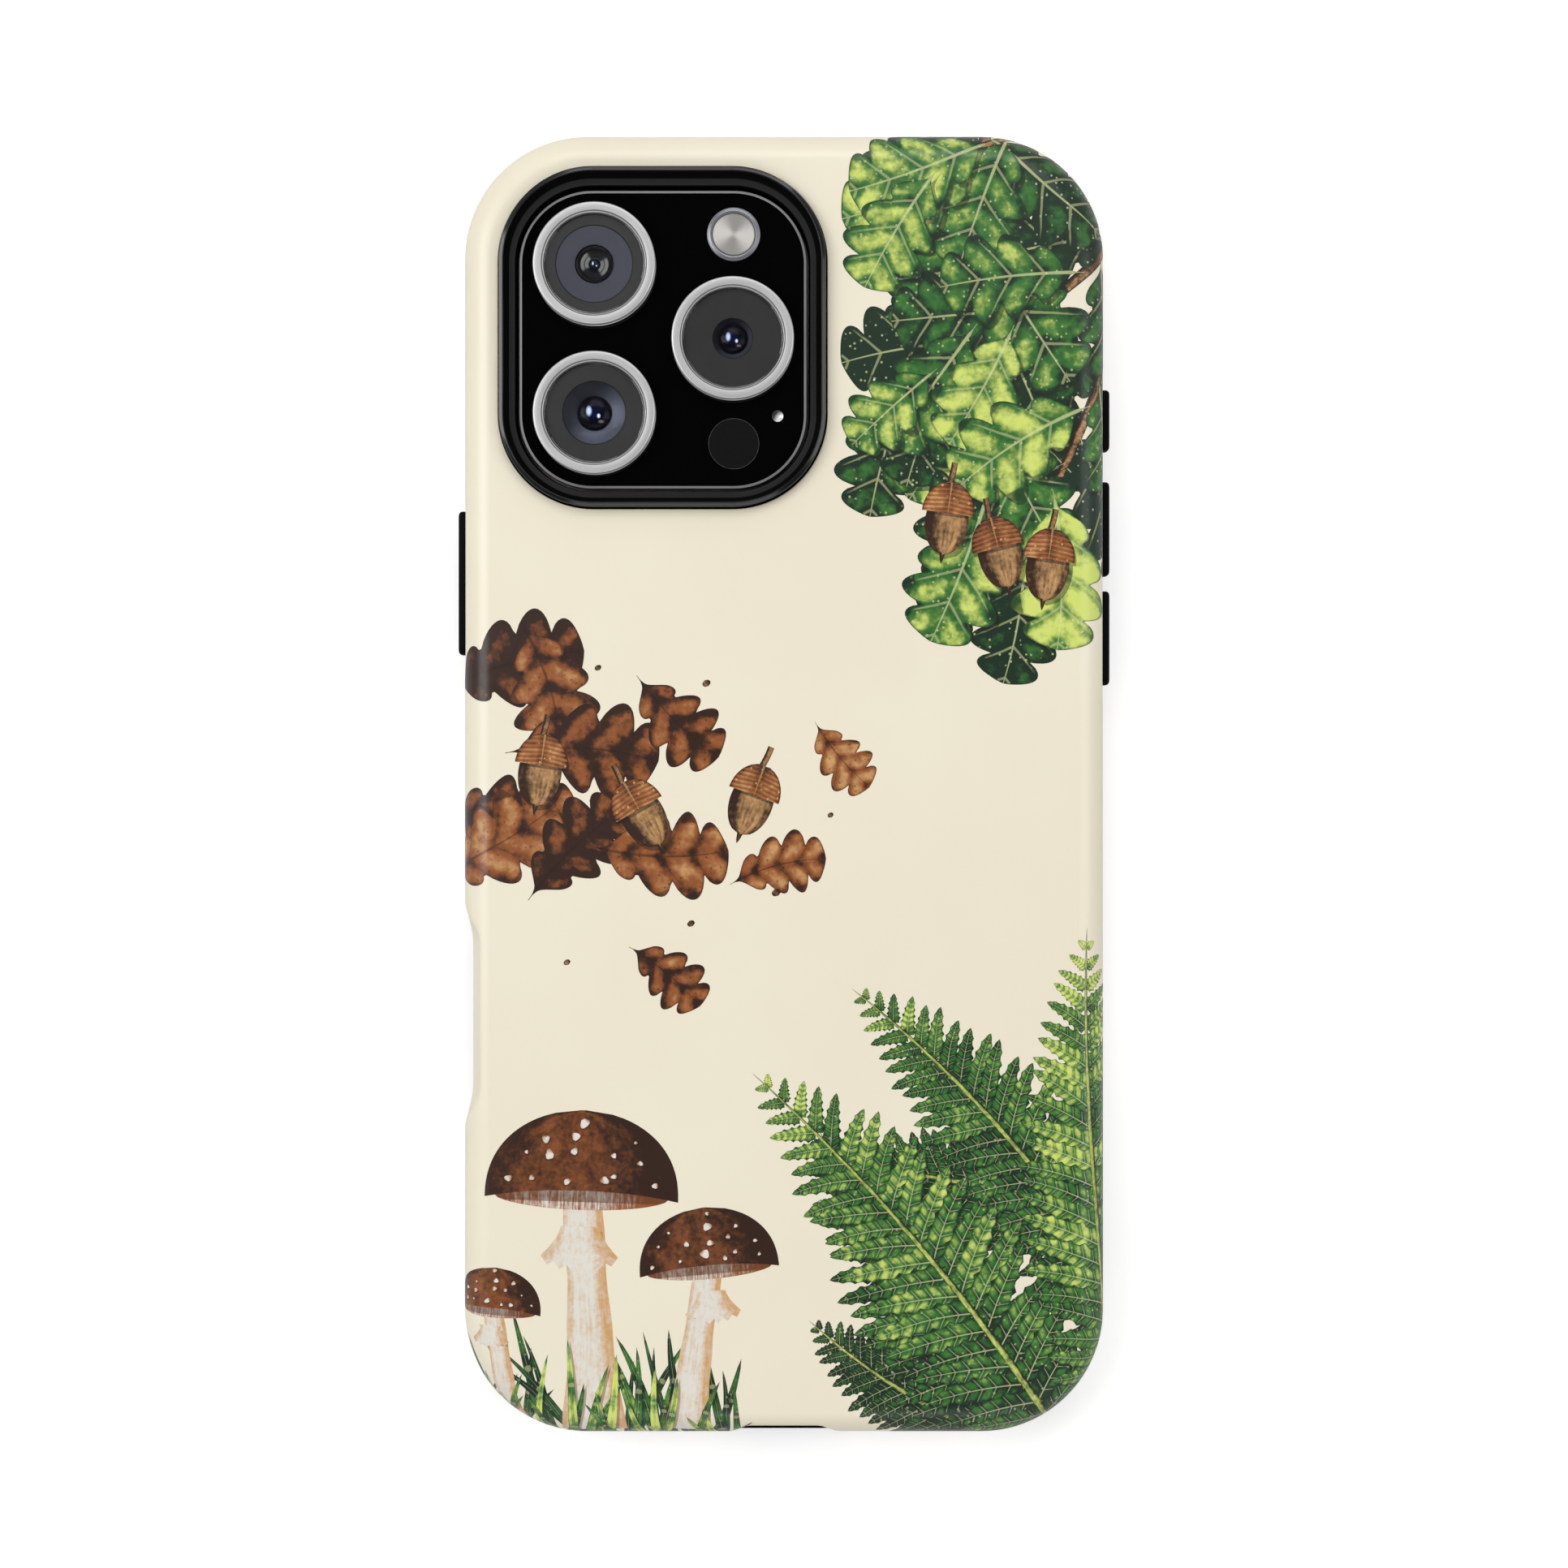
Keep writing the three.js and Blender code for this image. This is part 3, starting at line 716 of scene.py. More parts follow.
def barrel_finish(name, centre, annulus, well, well_colour, element, metal_and_painted_light):
    """The dark floor under a lens's glass, painted in rings about its axis, with painted shade past
    the ring's edge and, where metal is asked for, a painted gradient of light and shade across the
    well.
    """
    material, nodes, shader = new_material(name)
    place = nodes.place(centre)
    turned = nodes.group("turned", {"Vector": place, "Gloss": 0.42, "Rings": 14000.0})
    radius = turned["Radius"]
    black = (0.0015, 0.0015, 0.0018)
    rim = nodes.times(nodes.band(radius, well - 0.1 * MM, well),
                      nodes.band(radius, well + 0.14 * MM, well + 0.04 * MM))
    inside = nodes.band(radius, well + 0.05 * MM, well - 0.05 * MM)
    # painted light and shade: the well darker towards the upper left and lighter towards the lower
    # right
    if metal_and_painted_light:
        parts = nodes.parts(place)
        lit = nodes.math("DIVIDE", nodes.math("SUBTRACT", parts["X"], parts["Y"]), well)
        well_colour = nodes.mix(nodes.band(lit, -0.9, 0.9), toned(well_colour, 0.2), well_colour)
    body = nodes.mix(inside, annulus, well_colour)
    body = nodes.mix(nodes.band(radius, element + 0.25 * MM, element + 0.12 * MM), body, black)
    body = nodes.mix(nodes.times(rim, 0.8), body, black)
    # painted shade: black past RING_SHADOW, where the ring shades the floor
    body = nodes.mix(nodes.band(radius, RING_SHADOW, RING_SHADOW + 0.04 * MM), body, black)
    set_surface(nodes, shader, body, turned["Roughness"], turned["Height"], 0.001 * MM,
                Specular_IOR_Level=0.2)
    if metal_and_painted_light:
        nodes.feed(shader.inputs["Metallic"], nodes.times(inside, metal_and_painted_light))
    return material


def lens_glass():
    """Clear glass that lets the lamps reach what lies under it."""
    material, nodes, shader = new_material("clear lens glass")
    shader.inputs["Base Color"].default_value = (0.96, 0.97, 1.0, 1)
    shader.inputs["Roughness"].default_value = 0.0
    shader.inputs["IOR"].default_value = 1.5
    shader.inputs["Transmission Weight"].default_value = 1.0
    let_through(material, nodes, shader, nodes.add("LightPath").outputs["Is Shadow Ray"])
    return material


def about(nodes, centre, radius, phase):
    """The distance from an axis as a share of the radius, the angle, and a wave twice round it."""
    place = nodes.place(centre)
    parts = nodes.parts(place)
    angle = nodes.math("ARCTAN2", parts["Y"], parts["X"])
    wave = nodes.math("COSINE", nodes.math("MULTIPLY_ADD", angle, 2.0, phase))
    return nodes.math("DIVIDE", nodes.radius(place), radius), angle, wave


def glint(nodes, body, centre, radius, place, size, tone, strength=1.0):
    """The body with a painted oval reflection of a lamp, placed and sized as shares of the radius."""
    middle = centre + Vector((place[0] * radius, place[1] * radius, 0))
    spread = nodes.place(middle, (1 / size[0], 1 / size[1], 1))
    spot = nodes.band(nodes.radius(spread), radius, 0.3 * radius)
    return nodes.mix(nodes.times(spot, strength), body, tone)


def element_glass(name, centre, radius, settings):
    """A coated glass dome: near black, deep blue inside, with painted reflections of the lamps in it.
    """
    material, nodes, shader = new_material(name)
    distance = nodes.math("DIVIDE", nodes.radius(nodes.place(centre)), radius)
    body = nodes.mix(nodes.band(distance, 0.1, 0.6), toned(settings.element, 0.6),
                     (0.002, 0.002, 0.004))
    # painted reflections: a large pale blue glint, a small white one and a faint pink one
    body = glint(nodes, body, centre, radius, (-0.33, 0.12), (0.22, 0.4), (0.5, 0.62, 0.85))
    body = glint(nodes, body, centre, radius, (0.27, -0.18), (0.13, 0.18), (0.75, 0.8, 0.9))
    body = glint(nodes, body, centre, radius, (0.42, -0.52), (0.24, 0.13), (0.4, 0.27, 0.32), 0.35)
    set_surface(nodes, shader, body, nodes.band(distance, 0.0, 1.0, 0.08, 0.16),
                Specular_IOR_Level=0.12)
    return material


def iris_glass(name, centre, radius, settings):
    """A small dome in a black ring, with grey sectors between them painted as reflections, and
    painted glints on the dome.
    """
    material, nodes, shader = new_material(name)
    distance, angle, wave = about(nodes, centre, radius, 0.5)
    # painted reflection: grey sectors that come and go twice round, as lamps would be reflected
    blades = nodes.mix(nodes.band(wave, -0.2, 0.5), (0.006, 0.006, 0.006), (0.16, 0.162, 0.148))
    arcs = nodes.times(nodes.band(distance, 0.5, 0.53), nodes.band(distance, 0.6, 0.57))
    blades = nodes.mix(nodes.times(arcs, 0.8), blades, (0.01, 0.01, 0.012))
    body = nodes.mix(nodes.band(distance, 0.75, 0.78), blades, (0.003, 0.003, 0.004))
    body = nodes.mix(nodes.band(distance, 0.36, 0.32), body, (0.004, 0.005, 0.012))
    body = nodes.mix(nodes.band(distance, 0.14, 0.08), body, settings.element)
    # painted glints on the small dome
    body = glint(nodes, body, centre, radius, (-0.08, 0.03), (0.05, 0.13), (0.8, 0.88, 1.0))
    body = glint(nodes, body, centre, radius, (0.12, -0.1), (0.05, 0.05), (0.9, 0.93, 1.0))
    set_surface(nodes, shader, body, nodes.band(distance, 0.3, 0.5, 0.08, 0.3),
                Specular_IOR_Level=0.15)
    return material


def flash_finish(settings, centre, radius):
    """A frosted diffuser with a painted fan of light and shade, as a turned face would reflect the
    lamps, broken by fine rays.
    """
    material, nodes, shader = new_material("flash diffuser")
    distance, angle, wave = about(nodes, centre, radius, 0.35)
    turn = nodes.add("CombineXYZ", {"X": angle}).outputs["Vector"]
    rays = nodes.noise(turn, 16.0, 4.0, 0.7)
    # painted light and shade: brighter and darker twice round, roughened by the rays
    value = nodes.math("MULTIPLY_ADD", nodes.math("SUBTRACT", rays, 0.5), 1.2, wave)
    body = nodes.mix(nodes.band(value, -1.1, 1.1), toned(settings.flash, 0.6),
                     toned(settings.flash, 1.3))
    body = nodes.mix(nodes.band(distance, 0.25, 0.0), body, settings.flash)
    set_surface(nodes, shader, body, 0.38, rays, 0.006 * MM, Metallic=0.3)
    return material


def plain_finish(name, colour, gloss, grain=3000.0, depth=0.002 * MM):
    """A single colour with a moulded skin."""
    material, nodes, shader = new_material(name)
    skin = nodes.group("skin", {"Vector": nodes.place(), "Grain": grain, "Gloss": gloss})
    body = nodes.mix(nodes.band(skin["Height"], 0.3, 0.7), colour, toned(colour, 0.9))
    set_surface(nodes, shader, body, skin["Roughness"], skin["Height"], depth)
    return material


def dish_metal(name, centre, radius):
    """Smooth metal, with painted shade on the side that the light doesn't reach and painted light on
    the other.
    """
    material, nodes, shader = new_material(name)
    place = nodes.place(centre)
    parts = nodes.parts(place)
    lit = nodes.math("MULTIPLY_ADD", parts["Y"], -0.7, parts["X"])
    turned = nodes.group("turned", {"Vector": place, "Gloss": 0.32})
    # painted light and shade: dark towards the upper left, bright towards the lower right
    body = nodes.mix(nodes.band(lit, -0.9 * radius, 0.9 * radius), (0.03, 0.03, 0.03),
                     (0.9, 0.9, 0.9))
    set_surface(nodes, shader, body, turned["Roughness"], turned["Height"], 0.0015 * MM,
                Metallic=0.5)
    return material


# The case

SHELL_LOW, SHELL_HIGH = BOX["case_shell"]
LINER_HIGH = BOX["case_liner"][1]
PHONE_LOW, PHONE_HIGH = BOX["phone_body"]
BLOCK_LOW, BLOCK_HIGH = BOX["camera_plateau"]
WALL_MIDDLE = (BOX["power_button_cover"][0].z + BOX["power_button_cover"][1].z) / 2
COVERS = ("power_button_cover", "action_button_cover", "volume_up_cover", "volume_down_cover")

# The camera window, and the room left for the print at both ends
WINDOW = Outline(42.5 * MM, 44.2 * MM, 12.3 * MM, -15.65 * MM, 57.58 * MM)
WINDOW_MOUTH = 0.12 * MM
PRINT_ROOM = 0.025 * MM

# The finger scoop in the left wall and the slot behind it
SCOOP_Y = (BOX["camera_control_key"][0].y + BOX["camera_control_key"][1].y) / 2
SCOOP_HALF = 15 * MM
SCOOP_FLAT = 9.4 * MM
SCOOP_DEPTH = 0.93 * MM
SCOOP_SLOPE_FROM = 8.0 * MM
SCOOP_SLOPE_RISE = 3.4 * MM
SCOOP_SLOPE_RUN = 1.3 * MM
SCOOP_SLOT = 20 * MM, 4.6 * MM
SCOOP_PRINT_HALF = 12 * MM

# The notch over the port, the liner's collar in it, and the sound slots beside it
NOTCH_HALF = 7.7 * MM
NOTCH_FLAT = 4.3 * MM
NOTCH_DEPTH = 0.62 * MM
NOTCH_SLOPE_FROM = 8.7 * MM
NOTCH_SLOPE = 0.24
NOTCH_LINER_SHARE = 0.55
COLLAR = Outline(15.6 * MM, 7.2 * MM, 2.4 * MM)
COLLAR_INSET = 0.35 * MM
PORT_MOUTH = 0.25 * MM
SOUND_X = 17.2 * MM
SOUND_HALF = 6.7 * MM
SOUND_SLOT = 2 * SOUND_HALF, 2.8 * MM

# The shallow dips in the side walls round the button covers
COVER_CORNER = 0.9 * MM
COVER_DIP = 0.15 * MM
COVER_DIP_REACH = 3.2 * MM
COVER_DIP_TOP = 8.7 * MM
COVER_DIP_FADE = 2.0 * MM

# How the walls are cut and pressed in
CUT_SOFTNESS = 0.3 * MM
CUT_DEPTH = 3 * MM
CORNER_CLEAR = 14 * MM
WALL_BAND = 4 * MM
WALL_STEP = 0.6 * MM
COVER_DIP_STEP = 0.4 * MM
NOTCH_STEP = 0.35 * MM

BLOCK_CORNER = 9.5 * MM


def cover_place(node):
    """The wall of a button cover (-1 left, 1 right), its place along it, its length and width."""
    low, high = BOX[node]
    side = 1 if low.x + high.x > 0 else -1
    return side, (low.y + high.y) / 2, high.y - low.y, high.z - low.z


def side_dip(side, y, z):
    """How far the left (-1) or right (1) wall lies inside its flat place."""
    deepest = 0.0
    for low, high in (BOX[node] for node in COVERS):
        if low.x * side > 0:
            past = max(low.y - y, y - high.y)
            deepest = max(deepest, COVER_DIP * ease(1 - past / COVER_DIP_REACH))
    deepest *= 1 - ease((z - COVER_DIP_TOP) / COVER_DIP_FADE)
    if side < 0:
        share = ease((SCOOP_HALF - abs(y - SCOOP_Y)) / (SCOOP_HALF - SCOOP_FLAT))
        slope = min(max((z - SCOOP_SLOPE_FROM) / SCOOP_SLOPE_RISE, 0), 1) * SCOOP_SLOPE_RUN
        deepest = max(deepest, share * (SCOOP_DEPTH + slope))
    return deepest


def notch_dip(x, z):
    """How far the bottom wall lies inside its flat place, over the port."""
    depth = NOTCH_DEPTH + NOTCH_SLOPE * max(z - NOTCH_SLOPE_FROM, 0)
    return depth * ease((NOTCH_HALF - abs(x)) / (NOTCH_HALF - NOTCH_FLAT))


def pressed(x, y, z, half_width, half_height, notch_share=1.0):
    """A point of a block's outside, moved in by the dips of its walls."""
    if abs(y) < half_height - CORNER_CLEAR and abs(x) > half_width - WALL_BAND:
        dip = side_dip(math.copysign(1, x), y, z)
        if dip > 0:
            x = math.copysign(soft_least(abs(x), half_width - dip, min(CUT_SOFTNESS, dip)), x)
    dip = notch_dip(x, z) * notch_share
    if dip > 0 and y < -half_height + WALL_BAND:
        y = -soft_least(-y, half_height - dip, min(CUT_SOFTNESS, dip))
    return x, y


def press_in(bm, half_width, half_height, notch_share=1.0):
    """Presses the side dips, the finger scoop and the port notch into a block's outside."""
    cut_through(bm, 1, spaced(SCOOP_Y - SCOOP_HALF, SCOOP_Y + SCOOP_HALF, WALL_STEP))
    for node in COVERS:
        low, high = BOX[node]
        for end, way in ((low.y, -1), (high.y, 1)):
            reach = end + way * COVER_DIP_REACH
            cut_through(bm, 1, spaced(min(end, reach), max(end, reach), COVER_DIP_STEP))
    cut_through(bm, 0, spaced(-NOTCH_HALF, NOTCH_HALF, NOTCH_STEP))
    for vert in bm.verts:
        vert.co.xy = pressed(*vert.co, half_width, half_height, notch_share)


def wall_bar(outline, normal, origin, mouth, depth):
    """A cutter that goes into a side wall, flared at the surface."""
    tool = stack([(outline, -depth)] + rounding(outline, 0, -mouth, MOUTH_STEPS, True)
                 + [(outline.grown(mouth), 2 * MM)], steps=BAR_STEPS)
    return out_of_wall(tool, normal, origin)


def capsule(width, height):
    """An outline with round ends."""
    return Outline(width, height, height / 2 - 0.005 * MM)


def scoop_bar(outline, x, mouth, depth=CUT_DEPTH):
    """A cutter that goes into the left wall behind the finger scoop."""
    return wall_bar(outline, (-1, 0, 0), (-x, SCOOP_Y, WALL_MIDDLE), mouth, depth)


def bottom_bar(outline, x, y, mouth, depth=CUT_DEPTH):
    """A cutter that goes into the bottom wall."""
    return wall_bar(outline, (0, -1, 0), (x, -y, WALL_MIDDLE), mouth, depth)


def layer_openings(cover_x, slack, cover_mouth, wall_x, port, wall_y, mouth):
    """Cutters for the openings that both layers of the case have: covers, key, port and sound."""
    tools = []
    for node in COVERS:
        side, middle, width, height = cover_place(node)
        slot = Outline(width + 2 * slack, height + 2 * slack, COVER_CORNER + slack)
        tools.append(wall_bar(slot, (side, 0, 0), (side * cover_x, middle, WALL_MIDDLE),
                              cover_mouth, CUT_DEPTH))
    tools += [scoop_bar(capsule(*SCOOP_SLOT), wall_x, mouth), port]
    tools += [bottom_bar(capsule(*SOUND_SLOT), side * SOUND_X, wall_y, mouth)
              for side in (-1, 1)]
    return tools


def case_outline():
    """The shell seen from above, which leaves room for the print at both ends."""
    whole = outline_of("case_shell", bpy.context.scene.phone_shell.corner)
    return Outline(whole.width, whole.height - 2 * PRINT_ROOM, whole.corner)


def build_shell():
    settings = bpy.context.scene.phone_shell
    outline = case_outline()
    body = block(outline, SHELL_LOW.z, SHELL_HIGH.z, top=settings.edge, arc=14)
    cut_through(body, 2, spaced(SHELL_LOW.z + WALL_STEP, SHELL_HIGH.z - settings.edge, WALL_STEP))
    press_in(body, outline.width / 2, outline.height / 2)
    inside = outline.grown(-settings.wall)
    hollow = block(inside, SHELL_LOW.z - 1 * MM, SHELL_HIGH.z - settings.back,
                   top=settings.inner_edge, arc=10)
    window = stack([(WINDOW, 0)]
                   + rounding(WINDOW, SHELL_HIGH.z, -WINDOW_MOUTH, MOUTH_STEPS, True)
                   + [(WINDOW.grown(WINDOW_MOUTH), SHELL_HIGH.z + 1 * MM)])
    wall_x, wall_y = outline.width / 2, outline.height / 2
    collar = bottom_bar(COLLAR.grown(0.2 * MM), 0, wall_y - NOTCH_DEPTH, PORT_MOUTH)
    openings = layer_openings(cover_x=SHELL_HIGH.x - COVER_DIP, slack=0.5 * MM,
                              cover_mouth=settings.mouth, wall_x=wall_x - SCOOP_DEPTH,
                              port=collar, wall_y=wall_y, mouth=settings.mouth)
    body = carved(body, [hollow, window] + openings)
    piece("shell", body, shell_plastic(settings), ["case_shell"], weighted=True)


def build_liner():
    settings = bpy.context.scene.phone_liner
    shell = bpy.context.scene.phone_shell
    phone = outline_of("phone_body", bpy.context.scene.phone_body.corner)
    bumper_outline = outline_of("case_liner", shell.corner - 0.05 * MM)
    bumper = block(bumper_outline, 0, settings.bumper, top=0.2 * MM, bottom=0.9 * MM)
    press_in(bumper, bumper_outline.width / 2, bumper_outline.height / 2, NOTCH_LINER_SHARE)
    sleeve_outline = phone.grown(settings.slack + settings.wall)
    ceiling = PHONE_HIGH.z + settings.slack
    sleeve = block(sleeve_outline, settings.bumper - 0.5 * MM, ceiling + settings.roof,
                   top=2.2 * MM)
    collar = block(COLLAR, -4 * MM, 0, top=0.15 * MM, steps=BAR_STEPS, arc=4)
    out_of_wall(collar, (0, -1, 0), (0, -SHELL_HIGH.y + COLLAR_INSET, WALL_MIDDLE))
    body = carved(bumper, [sleeve, collar], "UNION")
    pocket = block(phone.grown(settings.slack), settings.lip - 0.05 * MM, ceiling,
                   top=0.8 * MM, bottom=0.8 * MM)
    view = phone.grown(-settings.lip_overlap)
    flare = 0.5 * MM
    front = stack([(view.grown(flare), -1 * MM)] + rounding(view, 0, -flare, MOUTH_STEPS, False)
                  + [(view, settings.lip + 1 * MM)])
    block_hole = block(outline_of("camera_plateau", BLOCK_CORNER).grown(1.2 * MM), 5 * MM,
                       20 * MM)
    port = bottom_bar(capsule(12.6 * MM, 6.2 * MM), 0, SHELL_HIGH.y - COLLAR_INSET, PORT_MOUTH,
                      depth=4 * MM)
    sleeve_x, sleeve_y = sleeve_outline.width / 2, sleeve_outline.height / 2
    openings = layer_openings(cover_x=sleeve_x, slack=0.2 * MM, cover_mouth=0.15 * MM,
                              wall_x=sleeve_x, port=port, wall_y=sleeve_y, mouth=0.3 * MM)
    body = carved(body, [pocket, front, block_hole] + openings)
    black = rubber(settings)
    piece("liner_sleeve", body, black, ["case_liner"], weighted=True)
    build_guard(settings)
    for node in COVERS:
        low, high = BOX[node]
        side, middle, width, height = cover_place(node)
        cover = block(Outline(width, height, COVER_CORNER), 0, high.x - low.x, top=0.45 * MM,
                      bottom=0.1 * MM, steps=BAR_STEPS, arc=6)
        out_of_wall(cover, (side, 0, 0), (low.x if side > 0 else high.x, middle, WALL_MIDDLE))
        rides_on = node.replace("_cover", "_button" if node.startswith("volume") else "")
        piece(node.replace("_cover", "_skin"), cover, black, [node],
              body=rides_on)


GUARD_PROFILE = (  # how far in from the guard's outside, and height below its top, in millimetres
    (0.0, 4.2), (0.0, 0.3), (0.02, 0.2), (0.06, 0.15), (0.08, 0.142), (0.40, 0.02), (0.42, 0.013),
    (0.47, 0.0), (0.51, 0.006), (0.545, 0.03), (0.565, 0.07), (0.6, 0.18), (0.85, 0.8),
    (1.2, 1.4), (1.27, 1.48), (1.35, 1.51), (1.94, 1.52), (1.97, 1.53), (1.99, 1.56), (2.0, 1.6),
    (2.1, 3.0), (2.2, 3.4), (2.2, 4.2),
)


def build_guard(settings):
    """The raised rim round the cameras: a round crest, and a ledge half way down inside."""
    outside = WINDOW.grown(-0.2 * MM)
    foot = outline_of("camera_plateau", BLOCK_CORNER).grown(0.25 * MM)
    reach = GUARD_PROFILE[-1][0]
    sections = [(outside.towards(foot, inwards / reach), LINER_HIGH.z - below * MM)
                for inwards, below in GUARD_PROFILE]
    body = stack(sections + sections[:1], ring=True)
    # the crest height also places the painted reflection line on the guard's ledge
    polished = rubber(settings, "polished rubber", LINER_HIGH.z)
    piece("camera_guard", body, polished, ["case_liner"], weighted=True)


# The phone

def build_phone():
    settings = bpy.context.scene.phone_body
    outline = outline_of("phone_body", settings.corner)
    body = block(outline, PHONE_LOW.z, PHONE_HIGH.z, top=settings.edge, bottom=settings.edge)
    glass_low, glass_high = BOX["display_glass"]
    glass = outline_of("display_glass", settings.corner - 1.0 * MM)
    tools = [block(glass.grown(0.1 * MM), 0, glass_high.z + 0.1 * MM),
             scoop_bar(capsule(18.6 * MM, 3.4 * MM), -PHONE_LOW.x, 0.2 * MM, depth=0.85 * MM),
             bottom_bar(capsule(9.0 * MM, 3.2 * MM), 0, -PHONE_LOW.y, PORT_MOUTH,
                        depth=6.5 * MM)]
    pitch = 2.3 * MM
    for side in (-1, 1):
        for number in (-2, -1, 0, 1, 2):
            x = side * SOUND_X + number * pitch
            hole = drill(radius=0.65 * MM, depth=1.2 * MM, edge=0.1 * MM, steps=32)
            tools.append(out_of_wall(hole, (0, -1, 0), (x, PHONE_LOW.y, WALL_MIDDLE)))
    body = carved(body, tools)
    metal = brushed_metal("brushed frame", settings.metal, 0.3, (0.04, 0.04, 1))
    piece("phone_frame", body, metal, ["phone_body"], weighted=True)
    front = block(glass, glass_low.z, glass_high.z, bottom=0.3 * MM)
    piece("front_glass", front, screen_glass(settings), ["display_glass"])
    key_low, key_high = BOX["camera_control_key"]
    key = block(capsule(key_high.y - key_low.y, key_high.z - key_low.z), 0,
                key_high.x - key_low.x, top=0.12 * MM, steps=16, arc=4)
    out_of_wall(key, (-1, 0, 0), (key_high.x, SCOOP_Y, WALL_MIDDLE))
    glassy = black_glass(settings)
    piece("control_key", key, glassy, ["camera_control_key"],
          body="camera_control")
    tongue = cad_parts["port_tongue"]
    tongue.data.materials.clear()
    tongue.data.materials.append(plain_finish("port plastic", (0.012, 0.012, 0.012), 0.5))
    build_contacts()
    build_plateau(settings)


def build_contacts():
    """The charging port's gold pads, on both faces of its tongue."""
    low, high = BOX["port_tongue"]
    bm = bmesh.new()
    count = 12
    pitch = 0.5 * MM
    pad = (0.26 * MM, 2.6 * MM, 0.05 * MM)
    for number in range(count):
        x = (number - (count - 1) / 2) * pitch
        for z in (low.z, high.z):
            verts = bmesh.ops.create_cube(bm, size=1)["verts"]
            bmesh.ops.scale(bm, verts=verts, vec=pad)
            bmesh.ops.translate(bm, verts=verts, vec=(x, low.y + 1.7 * MM, z))
    gold = brushed_metal("contact gold", (0.78, 0.55, 0.25), 0.3, (1, 0.1, 1))
    piece("port_contacts", bm, gold)


def build_plateau(settings):
    """The camera block: a slab of black glass with a stepped, rounded edge."""
    outline = outline_of("camera_plateau", BLOCK_CORNER)
    top = BLOCK_HIGH.z
    profile = (  # how far in from the outline, and height below the top, in millimetres
        (0.0, 0.4), (0.0, 0.15), (0.015, 0.11), (0.05, 0.086), (0.07, 0.08), (0.36, 0.006),
        (0.38, 0.002), (0.42, 0.0),
    )
    sections = [(outline, BLOCK_LOW.z)]
    sections += [(outline.grown(-inwards * MM), top - below * MM) for inwards, below in profile]
    body = stack(sections)
    tools = []
    for node, slack, depth in (("depth_sensor_window", 0.04, 0.4), ("microphone_grille", 0.02, 0.6)):
        foot, radius, rise = seat(node)
        tools.append(drill(radius + slack * MM, depth * MM, 0.03 * MM, (foot.x, foot.y, top)))
    body = carved(body, tools)
    # the rounded edge gets a painted highlight line between these heights
    edged = black_glass(settings, "edged black glass", (top - 0.083 * MM, top - 0.004 * MM))
    piece("plateau", body, edged, ["camera_plateau"], weighted=True)


# The cameras

LENSES = (  # name, radius of the well in millimetres, and share of the annulus's colour
    ("upper", 4.95, 1.0), ("lower", 4.05, 0.8), ("side", 2.55, 0.64),
)


def seat(node):
    """Where a round CAD node stands, its radius and its height."""
    low, high = BOX[node]
    foot = Vector(((low.x + high.x) / 2, (low.y + high.y) / 2, low.z))
    return foot, (high.x - low.x) / 2, high.z - low.z


def chamfered(radius, rise, drop, inset):
    """The profile of a disc with a chamfer at its top."""
    return [(0, 0), (radius, 0), (radius, rise - drop), (radius - inset, rise), (0, rise)]


def build_lens(name, well, annulus_share, glass, settings):
    """One camera: a grooved ring, a clear window, a dark barrel and its glass."""
    centre = build_lens_ring(name, settings)
    seat_at, radius, rise = seat(f"{name}_lens_window")
    piece(f"{name}_window", lathe(chamfered(radius, rise, 0.12 * MM, 0.12 * MM), seat_at), glass,
          [f"{name}_lens_window"])

    seat_at, radius, rise = seat(f"{name}_lens_barrel")
    element_at, element, dome = seat(f"{name}_lens_element")
    shallow = name == "upper"
    floor = rise - 0.2 * MM if shallow else 0.22 * MM
    inner = element + (0.1 if shallow else 0.16) * MM
    profile = [(0, 0), (radius, 0), (radius, rise), (well + 0.08 * MM, rise),
               (well, rise - 0.06 * MM), (inner, floor)]
    if shallow:
        profile += [(inner, floor - 0.1 * MM), (inner - 0.05 * MM, 0.2 * MM)]
    profile += [(0, 0.2 * MM)]
    barrel = barrel_finish(f"{name} barrel", centre, toned(settings.annulus, annulus_share), well,
                           getattr(settings, f"{name}_well"), element, 0.0 if shallow else 0.5)
    piece(f"{name}_barrel", lathe(profile, seat_at), barrel,
          [f"{name}_lens_barrel"], smooth=TURNED_ANGLE)

    if shallow:
        profile = iris_profile(element, dome)
        finish = iris_glass(f"{name} element glass", centre, element, settings)
    else:
        steps = 14
        turns = [RIGHT_ANGLE * step / steps for step in range(steps)]
        profile = [(0, 0)] + [(element * math.cos(turn), dome * math.sin(turn)) for turn in turns]
        profile.append((0, dome))
        finish = element_glass(f"{name} element glass", centre, element, settings)
    piece(f"{name}_element", lathe(profile, element_at), finish,
          [f"{name}_lens_element"])


def iris_profile(radius, dome):
    """A dished ring with a small dome in its middle."""
    profile = [(0, 0), (radius, 0), (radius, 0.42 * MM), (0.95 * radius, 0.47 * MM),
               (0.8 * radius, 0.42 * MM), (0.76 * radius, 0.3 * MM), (0.34 * radius, 0.2 * MM)]
    eye = 0.3 * radius
    return profile + [(share * eye, dome - (1 - math.sqrt(1 - share ** 2)) * 0.36 * MM)
                      for share in (1, 0.97, 0.9, 0.8, 0.65, 0.5, 0.34, 0.17, 0)]


